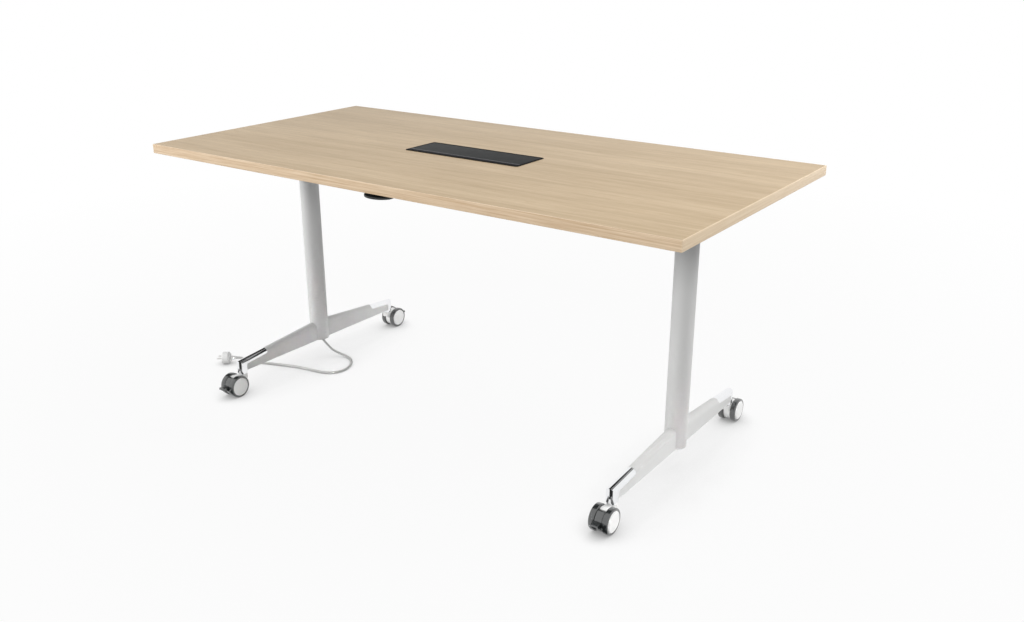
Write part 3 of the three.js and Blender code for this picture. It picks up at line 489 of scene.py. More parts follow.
def arm_form(bottom):
    """The whole arm towards -Y, paint and chrome together, down to its bottom face."""
    rows = []
    for k in range(ARM_STEPS + 1):
        turn = math.pi * (k / ARM_STEPS - 0.5)
        x = arm_half * math.sin(turn)
        crown = arm_half * math.cos(turn)
        toe = stem_reach + crown
        rows.append([
            (x, 0, arm_top(0) - arm_half + crown), (x, -toe, arm_top(toe) - arm_half + crown),
            (x, -toe, bottom), (x, 0, bottom),
        ])
    bm = loft(rows)
    lower = [
        edge for edge in bm.edges
        if all(v.co.z < bottom + 1e-6 for v in edge.verts)
        and edge.calc_face_angle(0) > 1
        and any(v.co.y < -column_radius for v in edge.verts)
    ]
    bmesh.ops.bevel(bm, geom=lower, offset=ARM_EASE, segments=3, profile=0.5, affect="EDGES")
    return bm


def chrome_share(grow):
    """What of the arm is chrome: a band along the top of the toe and the post over the caster."""
    start = cap_start - grow
    back = stem_reach - CAP_POST_BACK - grow
    beyond = stem_reach + 2 * arm_half
    high = arm_top(0) + CAP_BAND
    outline = rounded([
        (-start, high, 0), (-beyond, high, 0), (-beyond, 0, 0), (-back, 0, 0),
        (-back, arm_top(back) - CAP_BAND - grow, CAP_CORNER),
        (-start, arm_top(start) - CAP_BAND - grow, CAP_CORNER),
    ])
    return prism(outline, (-2 * arm_half, 2 * arm_half), "X")


def foot_place(end, side):
    """Turns a foot that is drawn towards -Y to the front or the rear of its column."""
    turn = Matrix.Rotation(0 if end < 0 else math.pi, 4, "Z")
    return Matrix.Translation((side * column_x, 0, 0)) @ turn


cope_outline = [(0, 0), (column_radius + SEAM, 0), (column_radius + SEAM, 2 * arm_high.z), (0, 2 * arm_high.z)]
for hand, side in SIDES.items():
    for end, way in ENDS.items():
        cope = turned(cope_outline, (0, 0, 0), (0, 0, 1), COLUMN_SIDES)
        arm = carve(carve(arm_form(arm_low.z), cope), chrome_share(SEAM))
        arm.transform(foot_place(way, side))
        name = end + "_" + hand
        fit("arm_" + name, arm, grey_paint, "base", "grey_paint", "foot_arm_" + name)

# Toe caps
# Die-cast caps with a bright chrome plate, slid over the ends of the arms. A boss below each holds the
# stem of its caster.
BOSS_DIAMETER = 23 * MM
BOSS_DROP = 6 * MM
STEM_DIAMETER = 10 * MM
STEM_LENGTH = 28 * MM

chrome_plate = Finish("chrome_plate", {"Metallic": 1.0})
smudge = chrome_plate.noise(45, 4)
chrome_plate.dress({
    "Base Color": chrome_plate.mix(smudge, colour(236, 237, 239), colour(244, 245, 246)),
    "Roughness": 0.03 + 0.05 * smudge,
})

boss_bottom = cap_low.z
post_bottom = boss_bottom + BOSS_DROP
boss_outline = rounded([
    (0, boss_bottom, 0), (BOSS_DIAMETER / 2, boss_bottom, ARM_EASE),
    (BOSS_DIAMETER / 2, post_bottom + 2 * ARM_EASE, 0), (0, post_bottom + 2 * ARM_EASE, 0),
])
socket_radius = STEM_DIAMETER / 2 + SEAM
socket_ends = (boss_bottom - 2 * MM, boss_bottom + STEM_LENGTH + SEAM)
socket_outline = [(0, socket_ends[0]), (socket_radius, socket_ends[0]), (socket_radius, socket_ends[1]),
                  (0, socket_ends[1])]
for hand, side in SIDES.items():
    for end, way in ENDS.items():
        cap = carve(arm_form(post_bottom), chrome_share(0), "INTERSECT")
        cap = carve(cap, turned(boss_outline, (0, -stem_reach, 0), (0, 0, 1)), "UNION")
        cap = carve(cap, turned(socket_outline, (0, -stem_reach, 0), (0, 0, 1), 32))
        cap.transform(foot_place(way, side))
        name = end + "_" + hand
        fit("cap_" + name, cap, chrome_plate, "base", "chrome", "toe_cap_" + name)

# Casters: bodies
# Each twin-wheel caster has a body moulded in white plastic between its wheels. A steel stem in the
# body turns in the toe cap's boss, and a steel axle through it carries the two wheels.
BODY_TOP_GAP = 0.4 * MM
BODY_NECK = 21 * MM
NECK_HEIGHT = 13.5 * MM
BODY_RIM = 4 * MM
BODY_EASE = 1.2 * MM
AXLE_BOSS = 12 * MM
AXLE_DIAMETER = 8 * MM
KNUCKLE_RADIUS = 4 * MM
KNUCKLE_GAP = 0.4 * MM

joint_place = {joint["name"]: Vector(joint["pos_m"]) for joint in frame["joints"] if "pos_m" in joint}
axle = joint_place["roll_front_left_inner"] - Vector((-column_x, 0, 0))
knuckle = joint_place["pedal_front_left"] - Vector((-column_x, 0, 0))
wheel_radius = axle.z
body_low, body_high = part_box("caster_front_left_body")
wheel_low, wheel_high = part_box("caster_front_left_wheel_inner")
wheel_inner = wheel_low.x + column_x
wheel_width = wheel_high.x - wheel_low.x
body_half = wheel_inner - 0.5 * MM


def off_axle(radius, degrees):
    """A point at a distance from the axle and an angle up from the trailing side, seen from the side."""
    angle = math.radians(degrees)
    return Vector((axle.y - radius * math.cos(angle), axle.z + radius * math.sin(angle)))


def axle_arc(radius, start, end, step=5):
    """Points round the axle from one angle to another."""
    count = math.ceil(abs(end - start) / step)
    return [off_axle(radius, start + (end - start) * k / count) for k in range(count + 1)]


def rod(radius, span, ease):
    """The closed outline of a plain turned rod with rounded ends."""
    return rounded([(0, span[0], 0), (radius, span[0], ease), (radius, span[1], ease), (0, span[1], 0)], 3)


body_top = boss_bottom - BODY_TOP_GAP
body_radius = wheel_radius - BODY_RIM
stem_y = -stem_reach
body_outline = [
    Vector((stem_y + BODY_NECK / 2, body_top)), Vector((stem_y - BODY_NECK / 2, body_top)),
    *axle_arc(body_radius, 100, 75), *axle_arc(AXLE_BOSS, 75, -80), *axle_arc(body_radius, -80, -190),
    Vector((stem_y + BODY_NECK / 2, body_top - NECK_HEIGHT)),
]
axle_half = body_high.x + column_x
for hand, side in SIDES.items():
    for end, way in ENDS.items():
        name = end + "_" + hand
        caster = "caster_" + name
        groove = turned(rod(KNUCKLE_RADIUS + KNUCKLE_GAP, (-0.02, 0.02), 0), knuckle * Vector((0, 1, 1)),
                        (1, 0, 0), 32)
        body = carve(prism(body_outline, (-body_half, body_half), "X", BODY_EASE), groove)
        stem = turned(rod(STEM_DIAMETER / 2, (body_top - 6 * MM, boss_bottom + STEM_LENGTH), 1 * MM),
                      (0, stem_y, 0), (0, 0, 1), 32)
        shaft = turned(rod(AXLE_DIAMETER / 2, (-axle_half, axle_half), 0.6 * MM), axle * Vector((0, 1, 1)),
                       (1, 0, 0), 32)
        for piece in (body, stem, shaft):
            piece.transform(foot_place(way, side))
        fit("caster_body_" + name, body, white_moulding, caster, "white_plastic", caster + "_body")
        fit("caster_stem_" + name, stem, zinc_steel, caster, "steel")
        fit("caster_axle_" + name, shaft, zinc_steel, caster, "steel")

# Casters: brake pedals
# A dark plastic hood between the wheels follows the tread on the trailing side and rocks on a knuckle in
# the body. Its ridged tongue is pressed down by a foot to brake the wheels.
HOOD_RIM = 2.5 * MM
HOOD_WALL = 13 * MM
PEDAL_REACH = 51 * MM
PEDAL_HALF = 4 * MM
PEDAL_TIP = 3 * MM
PEDAL_EASE = 0.7 * MM
RIDGES = 4
RIDGE_HEIGHT = 0.5 * MM

dark_moulding = Finish("dark_moulding", {"Specular IOR Level": 0.9, "Coat Weight": 1, "Coat IOR": 1.75,
                                         "Coat Roughness": 0.06})
dark_mottle = dark_moulding.noise(80, 3)
dark_grain = dark_moulding.noise(1600, 2)
dark_moulding.dress({
    "Base Color": dark_moulding.mix(dark_mottle, colour(34, 37, 38), colour(46, 49, 50)),
    "Roughness": 0.16 + 0.1 * dark_mottle + 0.06 * dark_grain,
    "Normal": dark_moulding.bump(dark_grain, 0.02 * MM),
})

hood_radius = wheel_radius - HOOD_RIM
tongue_root = off_axle(hood_radius, 14)
tip = off_axle(PEDAL_REACH, 4)
tongue_end = tip + Vector((PEDAL_TIP, PEDAL_HALF))
ridge_steps = 8 * RIDGES
ridged = []
for k in range(1, ridge_steps):
    along = k / ridge_steps
    ridge = RIDGE_HEIGHT * (math.cos(2 * math.pi * RIDGES * along) - 1) / 2
    ridged.append(tongue_root.lerp(tongue_end, along) + Vector((0, ridge)))
pedal_outline = [
    *axle_arc(hood_radius, 62, 14), *ridged, tongue_end, tip + Vector((0, PEDAL_HALF / 2)),
    tip - Vector((0, PEDAL_HALF / 2)), tip + Vector((PEDAL_TIP, -PEDAL_HALF)),
    *axle_arc(hood_radius, -14, -50), *axle_arc(hood_radius - HOOD_WALL, -50, 62),
]
for hand, side in SIDES.items():
    for end, way in ENDS.items():
        name = end + "_" + hand
        pedal = prism(pedal_outline, (-body_half, body_half), "X", PEDAL_EASE)
        barrel = turned(rod(KNUCKLE_RADIUS, (-body_half, body_half), 0.5 * MM), knuckle * Vector((0, 1, 1)),
                        (1, 0, 0), 32)
        pedal = carve(pedal, barrel, "UNION")
        pedal.transform(foot_place(way, side))
        fit("pedal_" + name, pedal, dark_moulding, "caster_" + name + "_pedal", "dark_plastic",
            "caster_" + name + "_brake_pedal")

# Casters: wheels
# Two dark soft-tread wheels run on each axle. A plain white disc is snapped into the outer face of each.
TREAD_ROUND = 3.5 * MM
HUB_RADIUS = 26 * MM
HUB_RECESS = 5.5 * MM
HUB_PROUD = 1.5 * MM

tyre_rubber = Finish("tyre_rubber", {"Specular IOR Level": 0.9, "Coat Weight": 1, "Coat IOR": 1.7,
                                     "Coat Roughness": 0.06})
tyre_dust = tyre_rubber.noise(110, 4)
tyre_grain = tyre_rubber.noise(2200, 2)
tyre_rubber.dress({
    "Base Color": tyre_rubber.mix(tyre_dust, colour(30, 33, 34), colour(44, 47, 48)),
    "Roughness": 0.16 + 0.14 * tyre_dust,
    "Normal": tyre_rubber.bump(tyre_grain, 0.03 * MM),
})

bore = AXLE_DIAMETER / 2 + SEAM
seat = HUB_RADIUS + SEAM
hub_floor = wheel_width - HUB_RECESS
hub_face = wheel_width + HUB_PROUD
tyre_outline = rounded([
    (bore, 0, 0.5 * MM), (wheel_radius, 0, TREAD_ROUND), (wheel_radius, wheel_width, TREAD_ROUND),
    (seat, wheel_width, 0.6 * MM), (seat, hub_floor, 0.3 * MM), (bore, hub_floor, 0.5 * MM),
], 6)
hub_outline = rounded([
    (0, hub_floor + SEAM, 0), (HUB_RADIUS, hub_floor + SEAM, 0.3 * MM), (HUB_RADIUS, wheel_width, 0.8 * MM),
    (HUB_RADIUS - 2 * HUB_PROUD, hub_face, 3 * MM), (0, hub_face - 0.3 * MM, 0),
], 6)
for hand, side in SIDES.items():
    for end, way in ENDS.items():
        for which, outward in (("inner", -side), ("outer", side)):
            caster = "caster_" + end + "_" + hand
            body = caster + "_wheel_" + which
            middle = joint_place["roll_" + end + "_" + hand + "_" + which]
            face = (middle.x + outward * wheel_inner, middle.y, middle.z)
            name = end + "_" + hand + "_" + which
            tyre = turned(tyre_outline, face, (outward, 0, 0), 96)
            fit("tyre_" + name, tyre, tyre_rubber, body, "tyre_rubber", body)
            hub = turned(hub_outline, face, (outward, 0, 0), 96)
            fit("disc_" + name, hub, white_moulding, body, "white_plastic", caster + "_hub_" + which)

# Cross beam
# A flat steel tube between the columns, coped to them and welded, painted with them. It keeps the two
# legs upright while the top swings past it.
BEAM_WALL = 2.5 * MM
BEAM_CORNER = 3 * MM

beam_low, beam_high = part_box("cross_beam")


def block_outline(low_a, high_a, low_b, high_b, corner):
    """A rectangle with rounded corners."""
    ends = [(low_a, low_b), (high_a, low_b), (high_a, high_b), (low_a, high_b)]
    return rounded([(a, b, corner) for a, b in ends], 4)


beam = prism(block_outline(beam_low.y, beam_high.y, beam_low.z, beam_high.z, BEAM_CORNER),
             (-column_x, column_x), "X")
beam_bore = prism(
    block_outline(beam_low.y + BEAM_WALL, beam_high.y - BEAM_WALL,
                  beam_low.z + BEAM_WALL, beam_high.z - BEAM_WALL, 1 * MM),
    (-2 * column_x, 2 * column_x), "X",
)
beam = carve(beam, beam_bore)
cope_height = [(0, 0.5), (column_radius + SEAM, 0.5), (column_radius + SEAM, 0.7), (0, 0.7)]
for side in SIDES.values():
    beam = carve(beam, turned(cope_height, (side * column_x, 0, 0), (0, 0, 1), COLUMN_SIDES))
fit("beam_tube", beam, grey_paint, "base", "grey_paint", "cross_beam")

# Column heads
# Cast hinge heads, painted with the columns: a spigot in the tube, a flange on it, and an upright lug
# that takes the hinge pin. A shoulder on the lug stops the top when it is level.
HEAD_EASE = 0.8 * MM


def eased(node, width):
    """A copy of a node's solid with its sharp edges broken."""
    bm = bmesh.new()
    bm.from_mesh(frame["nodes"][node].data)
    bmesh.ops.remove_doubles(bm, verts=bm.verts, dist=1e-6)
    bmesh.ops.dissolve_limit(bm, angle_limit=math.radians(1), verts=bm.verts, edges=bm.edges)
    sharp = [edge for edge in bm.edges if edge.calc_face_angle(0) > math.radians(40)]
    bmesh.ops.bevel(bm, geom=sharp, offset=width, segments=2, profile=0.5, affect="EDGES", clamp_overlap=True)
    return bm


for hand in SIDES:
    head = eased("column_head_" + hand, HEAD_EASE)
    fit("head_" + hand, head, grey_paint, "base", "grey_paint", "column_head_" + hand)

# Hinge pins
# Bright steel pins with a turned head, driven through the bracket's ears and the lug between them.
HINGE_PIN = 10 * MM
PIN_HEAD = 16 * MM
PIN_HEAD_HEIGHT = 3 * MM

pivot = joint_place["top_flip"]
for hand, side in SIDES.items():
    pin_low, pin_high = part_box("hinge_pin_" + hand)
    length = pin_high.x - pin_low.x
    start = pin_low.x if side > 0 else pin_high.x
    outline = rounded([
        (0, 0, 0), (HINGE_PIN / 2, 0, 0.8 * MM), (HINGE_PIN / 2, length - PIN_HEAD_HEIGHT, 0.2 * MM),
        (PIN_HEAD / 2, length - PIN_HEAD_HEIGHT, 0.4 * MM), (PIN_HEAD / 2, length, 1.2 * MM), (0, length, 0),
    ])
    pin = turned(outline, (start, 0, pivot.z), (side, 0, 0), 48)
    fit("flip_pin_" + hand, pin, zinc_steel, "base", "steel", "hinge_pin_" + hand)

# Hinge brackets
# Zinc-plated steel plates under the top, with two ears that turn on the hinge pin and the housing of the
# lock bolt. Each is held to the board by six socket-headed screws.
BRACKET_EASE = 0.7 * MM
SCREW_DIAMETER = 9 * MM
SCREW_HEIGHT = 2.6 * MM
SCREW_INSET = 12 * MM


class Tree:
    """A tree of Geometry Nodes with named inputs for its sizes."""

    def __init__(self, name, inputs, made):
        self.tree = bpy.data.node_groups.new(name, "GeometryNodeTree")
        for label, kind in inputs.items():
            self.tree.interface.new_socket(label, in_out="INPUT", socket_type="NodeSocket" + kind)
        self.tree.interface.new_socket(made, in_out="OUTPUT", socket_type="NodeSocketGeometry")
        self.inputs = self.tree.nodes.new("NodeGroupInput").outputs
        self.result = self.tree.nodes.new("NodeGroupOutput").inputs[0]

    def node(self, kind, settings=None, sockets=None, output=0):
        """Adds a node: first its settings, then the values or links of its sockets."""
        node = self.tree.nodes.new(kind)
        for name, value in (settings or {}).items():
            setattr(node, name, value)
        for name, value in (sockets or {}).items():
            links = value if isinstance(value, list) else [value]
            for link in links:
                if isinstance(link, bpy.types.NodeSocket):
                    self.tree.links.new(link, node.inputs[name])
                else:
                    node.inputs[name].default_value = link
        return node.outputs[output]

    def finish(self, geometry):
        """Ends the tree with plain geometry in its finish."""
        plain = self.node("GeometryNodeRealizeInstances", {}, {"Geometry": geometry})
        dressed = self.node("GeometryNodeSetMaterial", {}, {"Geometry": plain, "Material": self.inputs["Finish"]})
        self.tree.links.new(dressed, self.result)

    def make(self, name, points, edges, values, body, slot, *nodes, crease=35):
        """Runs the tree on points and edges, and fits the plain mesh that it makes to a body."""
        guide = bpy.data.meshes.new(name + "_guide")
        guide.from_pydata(points, edges, [])
        holder = bpy.data.objects.new(name + "_guide", guide)
        scene.collection.objects.link(holder)
        modifier = holder.modifiers.new("nodes", "NODES")
        modifier.node_group = self.tree
        for item in self.tree.interface.items_tree:
            if item.in_out == "INPUT" and item.name in values:
                modifier[item.identifier] = values[item.name]
        graph = bpy.context.evaluated_depsgraph_get()
        mesh = bpy.data.meshes.new_from_object(holder.evaluated_get(graph))
        holder.modifiers.remove(modifier)
        bpy.data.meshes.remove(guide)
        mesh.polygons.foreach_set("use_smooth", [True] * len(mesh.polygons))
        mesh.set_sharp_from_angle(angle=math.radians(crease))
        piece = bpy.data.objects.new(name, mesh)
        scene.collection.objects.link(piece)
        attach(piece, body)
        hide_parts(*nodes)
        return piece


screw_sizes = {"Points": "Geometry", "Diameter": "Float", "Height": "Float", "Finish": "Material"}
screws = Tree("screws", screw_sizes, "Screws")
half_diameter = screws.node("ShaderNodeMath", {"operation": "MULTIPLY"}, {0: screws.inputs["Diameter"], 1: 0.5})
face_radius = screws.node("ShaderNodeMath", {"operation": "MULTIPLY"}, {0: screws.inputs["Diameter"], 1: 0.38})
key_radius = screws.node("ShaderNodeMath", {"operation": "MULTIPLY"}, {0: screws.inputs["Diameter"], 1: 0.22})
head_cone = screws.node("GeometryNodeMeshCone", {}, {
    "Vertices": 20, "Radius Top": half_diameter, "Radius Bottom": face_radius, "Depth": screws.inputs["Height"],
})
key_way = screws.node("GeometryNodeMeshCylinder", {}, {
    "Vertices": 6, "Radius": key_radius, "Depth": screws.inputs["Height"],
})
sunk = screws.node("ShaderNodeMath", {"operation": "MULTIPLY"}, {0: screws.inputs["Height"], 1: -0.4})
sunk_place = screws.node("ShaderNodeCombineXYZ", {}, {"Z": sunk})
key_way = screws.node("GeometryNodeTransform", {}, {"Geometry": key_way, "Translation": sunk_place})
screw_head = screws.node("GeometryNodeMeshBoolean", {"operation": "DIFFERENCE"},
                         {"Mesh 1": head_cone, "Mesh 2": key_way})
screws.finish(screws.node("GeometryNodeInstanceOnPoints", {}, {
    "Points": screws.inputs["Points"], "Instance": screw_head,
}))

for hand, side in SIDES.items():
    bracket = eased("hinge_bracket_" + hand, BRACKET_EASE)
    fit("flip_bracket_" + hand, bracket, zinc_steel, "top", "steel", "hinge_bracket_" + hand)
    plate_low, plate_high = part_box("hinge_bracket_" + hand)
    under_plate = plate_high.z - 5 * MM - SCREW_HEIGHT / 2
    columns = [plate_low.x + SCREW_INSET, plate_high.x - SCREW_INSET, side * column_x]
    rows = [plate_low.y + SCREW_INSET, plate_high.y - SCREW_INSET]
    screw_points = [(x, y, under_plate) for x in columns for y in rows]
    screws.make("bracket_screws_" + hand, screw_points, [], {
        "Diameter": SCREW_DIAMETER, "Height": SCREW_HEIGHT, "Finish": zinc_steel.material,
    }, "top", "steel")

# Lock bolts
# Round steel bolts that slide in the bracket's housing. The release cables draw them out of the lug, and
# springs push them home when the top comes level.
for hand, side in SIDES.items():
    bolt_low, bolt_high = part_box("lock_bolt_" + hand)
    bolt_radius = (bolt_high.z - bolt_low.z) / 2
    middle = (bolt_low + bolt_high) / 2
    half_length = (bolt_high.x - bolt_low.x) / 2
    bolt = turned(rod(bolt_radius, (-half_length, half_length), 1.2 * MM), middle, (1, 0, 0), 32)
    fit("bolt_" + hand, bolt, zinc_steel, "lock_bolt_" + hand, "steel", "lock_bolt_" + hand)

# Table top
# A board faced with a light oak laminate, its grain along the table. Its underside is painted near black, a painted
# dark sheet that gives the chrome of the feet its dark reflections. It is cut out in the middle for the power tray.
board_low, board_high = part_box("tabletop_panel")
tray_low, tray_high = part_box("power_tray")
CUT_OUT = (-179.9 * MM, 179.9 * MM, -49.4 * MM, 59.4 * MM)

oak_laminate = Finish("oak_laminate", {"Specular IOR Level": 0.25})
oak_band = oak_laminate.noise(1, 3, (0.9, 11, 11))
oak_streak = oak_laminate.noise(1, 4, (5, 90, 90))
oak_fleck = oak_laminate.noise(1, 2, (26, 900, 900))
oak_pore = oak_laminate.between(oak_fleck, 0.56, 0.68)
oak_tone = oak_laminate.between(0.55 * oak_band + 0.45 * oak_streak, 0.34, 0.66)
oak_face = oak_laminate.mix(oak_tone, colour(174, 152, 121), colour(204, 183, 153))
oak_face = oak_laminate.mix(0.4 * oak_pore, oak_face, colour(164, 139, 108))
board_height = oak_laminate.node("ShaderNodeSeparateXYZ", {}, {"Vector": oak_laminate.place()}, "Z")
# Below this height the board is painted near black: a painted dark underside, for the chrome to reflect as shade.
above_painted_dark_underside = oak_laminate.between(board_height, board_low.z + 0.5 * MM, board_low.z + 0.7 * MM)
oak_laminate.dress({
    "Base Color": oak_laminate.mix(above_painted_dark_underside, colour(38, 38, 39), oak_face),
    "Roughness": 0.42 + 0.12 * oak_streak + 0.08 * oak_pore,
    "Normal": oak_laminate.bump(1 - oak_pore, 0.03 * MM),
})

board = prism(block_outline(board_low.x, board_high.x, board_low.y, board_high.y, 0),
              (board_low.z, board_high.z), "Z", 0.2 * MM)
cut_out = prism(block_outline(*CUT_OUT, 2 * MM), (board_low.z - 0.01, board_high.z + 0.01), "Z")
fit("board", carve(board, cut_out), oak_laminate, "top", "oak_laminate", "tabletop_panel")

# Edge band
# A plastic band in a warmer oak print, glued round the board and trimmed with a small round along its upper and
# lower edges. Its two end faces are painted paler and with less grain contrast, painted light for the stronger light
# on the table's ends, and a paler line along its upper round is a painted highlight.
BAND_THICKNESS = 2 * MM
BAND_ROUND = 1.3 * MM
BAND_CORNER = 1.4 * MM

band_low, band_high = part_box("edge_band")

oak_edge = Finish("oak_edge", {"Specular IOR Level": 0.4})
edge_place = oak_edge.node("ShaderNodeSeparateXYZ", {}, {"Vector": oak_edge.place()}, "X")
edge_y = Value(oak_edge, edge_place.socket.node.outputs["Y"])
edge_z = Value(oak_edge, edge_place.socket.node.outputs["Z"])
edge_run = oak_edge.node("ShaderNodeCombineXYZ", {}, {"X": 4 * (edge_place + edge_y), "Z": 260 * edge_z})
edge_grain = oak_edge.node("ShaderNodeTexNoise", {}, {"Vector": edge_run, "Scale": 1, "Detail": 4})
edge_fine = oak_edge.node("ShaderNodeTexNoise", {}, {"Vector": edge_run, "Scale": 3.4, "Detail": 2})
edge_tone = oak_edge.between(0.6 * edge_grain + 0.4 * edge_fine, 0.36, 0.64)
# A paler line along the band's upper round is a painted highlight.
painted_arris_highlight = oak_edge.between(edge_z, board_high.z - 1.4 * MM, board_high.z - 0.4 * MM)
end_inside = (band_high.x - BAND_THICKNESS) ** 2
end_outside = (band_high.x - BAND_THICKNESS / 2) ** 2
# The two end faces are painted paler, with less grain contrast: painted light for the stronger light on the table's
# ends.
painted_light_at_end = oak_edge.between(edge_place * edge_place, end_inside, end_outside)
side_face = oak_edge.mix(edge_tone, colour(188, 160, 127), colour(222, 200, 172))
painted_lit_end_face = oak_edge.mix(edge_tone, colour(214, 190, 157), colour(230, 210, 182))
edge_face = oak_edge.mix(painted_light_at_end, side_face, painted_lit_end_face)
oak_edge.dress({
    "Base Color": oak_edge.mix(0.5 * painted_arris_highlight, edge_face, colour(228, 208, 182)),
    "Roughness": 0.4 + 0.14 * edge_grain,
    "Normal": oak_edge.bump(edge_tone, 0.02 * MM),
})


def band_ring(inset, height, steps=4):
    """A ring round the board at a distance in from the band's outer face."""
    radius = max(BAND_CORNER - inset, 0)
    centre_x = band_high.x - inset - radius
    centre_y = band_high.y - inset - radius
    ring = []
    for quarter, (x, y) in enumerate(((1, 1), (-1, 1), (-1, -1), (1, -1))):
        for k in range(steps + 1):
            angle = math.pi / 2 * (quarter + k / steps)
            across = x * centre_x + radius * math.cos(angle)
            along = y * centre_y + radius * math.sin(angle)
            ring.append((across, along, height))
    return ring


band_section = rounded([
    (0, band_low.z, BAND_ROUND), (0, band_high.z, BAND_ROUND),
    (BAND_THICKNESS, band_high.z, 0), (BAND_THICKNESS, band_low.z, 0),
])
band = bmesh.new()
band_rows = [[band.verts.new(point) for point in band_ring(inset, height)] for inset, height in band_section]
skin(band, band_rows + band_rows[:1])
fit("edge_trim", band, oak_edge, "top", "oak_edge", "edge_band")

# Power tray
# A moulded tub let into the board, with a flat rim on the table's surface. A ledge inside the rim carries
# the lid level with it.
TRAY_WALL = 2.5 * MM
TRAY_LEDGE = 4 * MM
LEDGE_DROP = 4.3 * MM
COLLAR_DEPTH = 6.8 * MM
RIM_THICKNESS = 1.5 * MM
RIM_CORNER = 7 * MM
LID_SLACK = 0.4 * MM
LID_PIN = 1.8 * MM

lid_low, lid_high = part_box("power_lid")
lid_axis = joint_place["lid_hinge"]
pin_end = lid_high.x
mouth_x = pin_end - TRAY_WALL
mouth_front = lid_low.y - LID_SLACK
mouth_rear = lid_high.y + LID_SLACK
rim_top = tray_high.z


def mouth_block(grow, corner, low, high, ease=0.0):
    """An upright block that is larger than the tray's mouth on every side."""
    outline = block_outline(-mouth_x - grow, mouth_x + grow, mouth_front - grow, mouth_rear + grow, corner)
    return prism(outline, (low, high), "Z", ease)


tray = prism(block_outline(tray_low.x, tray_high.x, tray_low.y, tray_high.y, RIM_CORNER),
             (rim_top - RIM_THICKNESS, rim_top), "Z", 0.6 * MM)
collar = mouth_block(TRAY_WALL, 2 * MM, rim_top - COLLAR_DEPTH, rim_top - 0.3 * MM)
tray = carve(tray, collar, "UNION")
tub_grow = TRAY_WALL - TRAY_LEDGE
tub = mouth_block(tub_grow, 4 * MM, tray_low.z, rim_top - COLLAR_DEPTH + 1 * MM, 0.8 * MM)
tray = carve(tray, tub, "UNION")
tray = carve(tray, mouth_block(0, 1 * MM, rim_top - LEDGE_DROP, rim_top + 0.05))
tray = carve(tray, mouth_block(-TRAY_LEDGE, 2.5 * MM, tray_low.z + TRAY_WALL, rim_top + 0.05))
lid_bore = rod(LID_PIN / 2 + SEAM, (-pin_end - 2 * MM, pin_end + 2 * MM), 0)
tray = carve(tray, turned(lid_bore, lid_axis, (1, 0, 0), 24))
charcoal_moulding = Finish("charcoal_moulding", {"Specular IOR Level": 0.04})
charcoal_mottle = charcoal_moulding.noise(50, 3)
charcoal_grain = charcoal_moulding.noise(1500, 2)
charcoal_moulding.dress({
    "Base Color": charcoal_moulding.mix(charcoal_mottle, colour(18, 18, 19), colour(25, 25, 26)),
    "Roughness": 0.55 + 0.14 * charcoal_mottle + 0.1 * charcoal_grain,
    "Normal": charcoal_moulding.bump(charcoal_grain, 0.03 * MM),
})
fit("tray_moulding", tray, charcoal_moulding, "top", "dark_plastic", "power_tray")

# Socket strip
# A black block of three round mains sockets that stands on the floor of the tray, along its back wall.
SOCKET_DIAMETER = 39 * MM
SOCKET_DEPTH = 12 * MM
SOCKET_PITCH = 50 * MM
CONTACT_DIAMETER = 5.4 * MM

black_moulding = Finish("black_moulding", {"Specular IOR Level": 0.5})
black_mottle = black_moulding.noise(70, 3)
black_grain = black_moulding.noise(1800, 2)
black_moulding.dress({
    "Base Color": black_moulding.mix(black_mottle, colour(24, 25, 26), colour(34, 35, 37)),
    "Roughness": 0.36 + 0.16 * black_mottle + 0.08 * black_grain,
    "Normal": black_moulding.bump(black_grain, 0.02 * MM),
})

strip_low, strip_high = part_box("socket_strip")
strip_y = (strip_low.y + strip_high.y) / 2
strip = prism(block_outline(strip_low.x, strip_high.x, strip_low.y, strip_high.y, 3 * MM),
              (strip_low.z, strip_high.z), "Z", 1 * MM)
for place in (-1.5, -0.5, 0.5):
    x = place * SOCKET_PITCH
    well = [(0, -SOCKET_DEPTH, 0), (SOCKET_DIAMETER / 2, -SOCKET_DEPTH, 1 * MM),
            (SOCKET_DIAMETER / 2, 0.01, 0), (0, 0.01, 0)]
    strip = carve(strip, turned(rounded(well), (x, strip_y, strip_high.z), (0, 0, 1), 64))
    for contact in (-PIN_SPACING / 2, PIN_SPACING / 2):
        hole = rod(CONTACT_DIAMETER / 2, (-SOCKET_DEPTH - 7 * MM, 0), 0)
        strip = carve(strip, turned(hole, (x + contact, strip_y, strip_high.z), (0, 0, 1), 24))
fit("sockets", strip, black_moulding, "top", "black_plastic", "socket_strip")

# Power lid
# A flat moulded flap level with the tray's rim. It turns on two small pins at its rounded back edge, and
# its bevelled front edge is lifted with a finger. A paler band along that front edge is a painted highlight.
LID_BEVEL = 2 * MM
LID_EASE = 0.4 * MM
LID_HIGHLIGHT_BAND = 6 * MM

lid_half = mouth_x - LID_SLACK
lid_round = lid_high.z - lid_axis.z
lid_outline = [Vector((lid_low.y + LID_BEVEL, lid_high.z)), Vector((lid_low.y, lid_high.z - LID_BEVEL)),
               Vector((lid_low.y, lid_low.z))]
for k in range(13):
    angle = math.pi * (k / 12 - 0.5)
    lid_outline.append(Vector((lid_axis.y, lid_axis.z)) + lid_round * Vector((math.cos(angle), math.sin(angle))))
lid = prism(lid_outline, (-lid_half, lid_half), "X", LID_EASE)
lid_pins = turned(rod(LID_PIN / 2, (-pin_end, pin_end), 0.2 * MM), lid_axis, (1, 0, 0), 24)
lid_moulding = Finish("lid_moulding", {"Specular IOR Level": 0.18})
lid_mottle = lid_moulding.noise(50, 3)
lid_grain = lid_moulding.noise(1500, 2)
lid_face = lid_moulding.mix(lid_mottle, colour(25, 26, 26), colour(33, 34, 34))
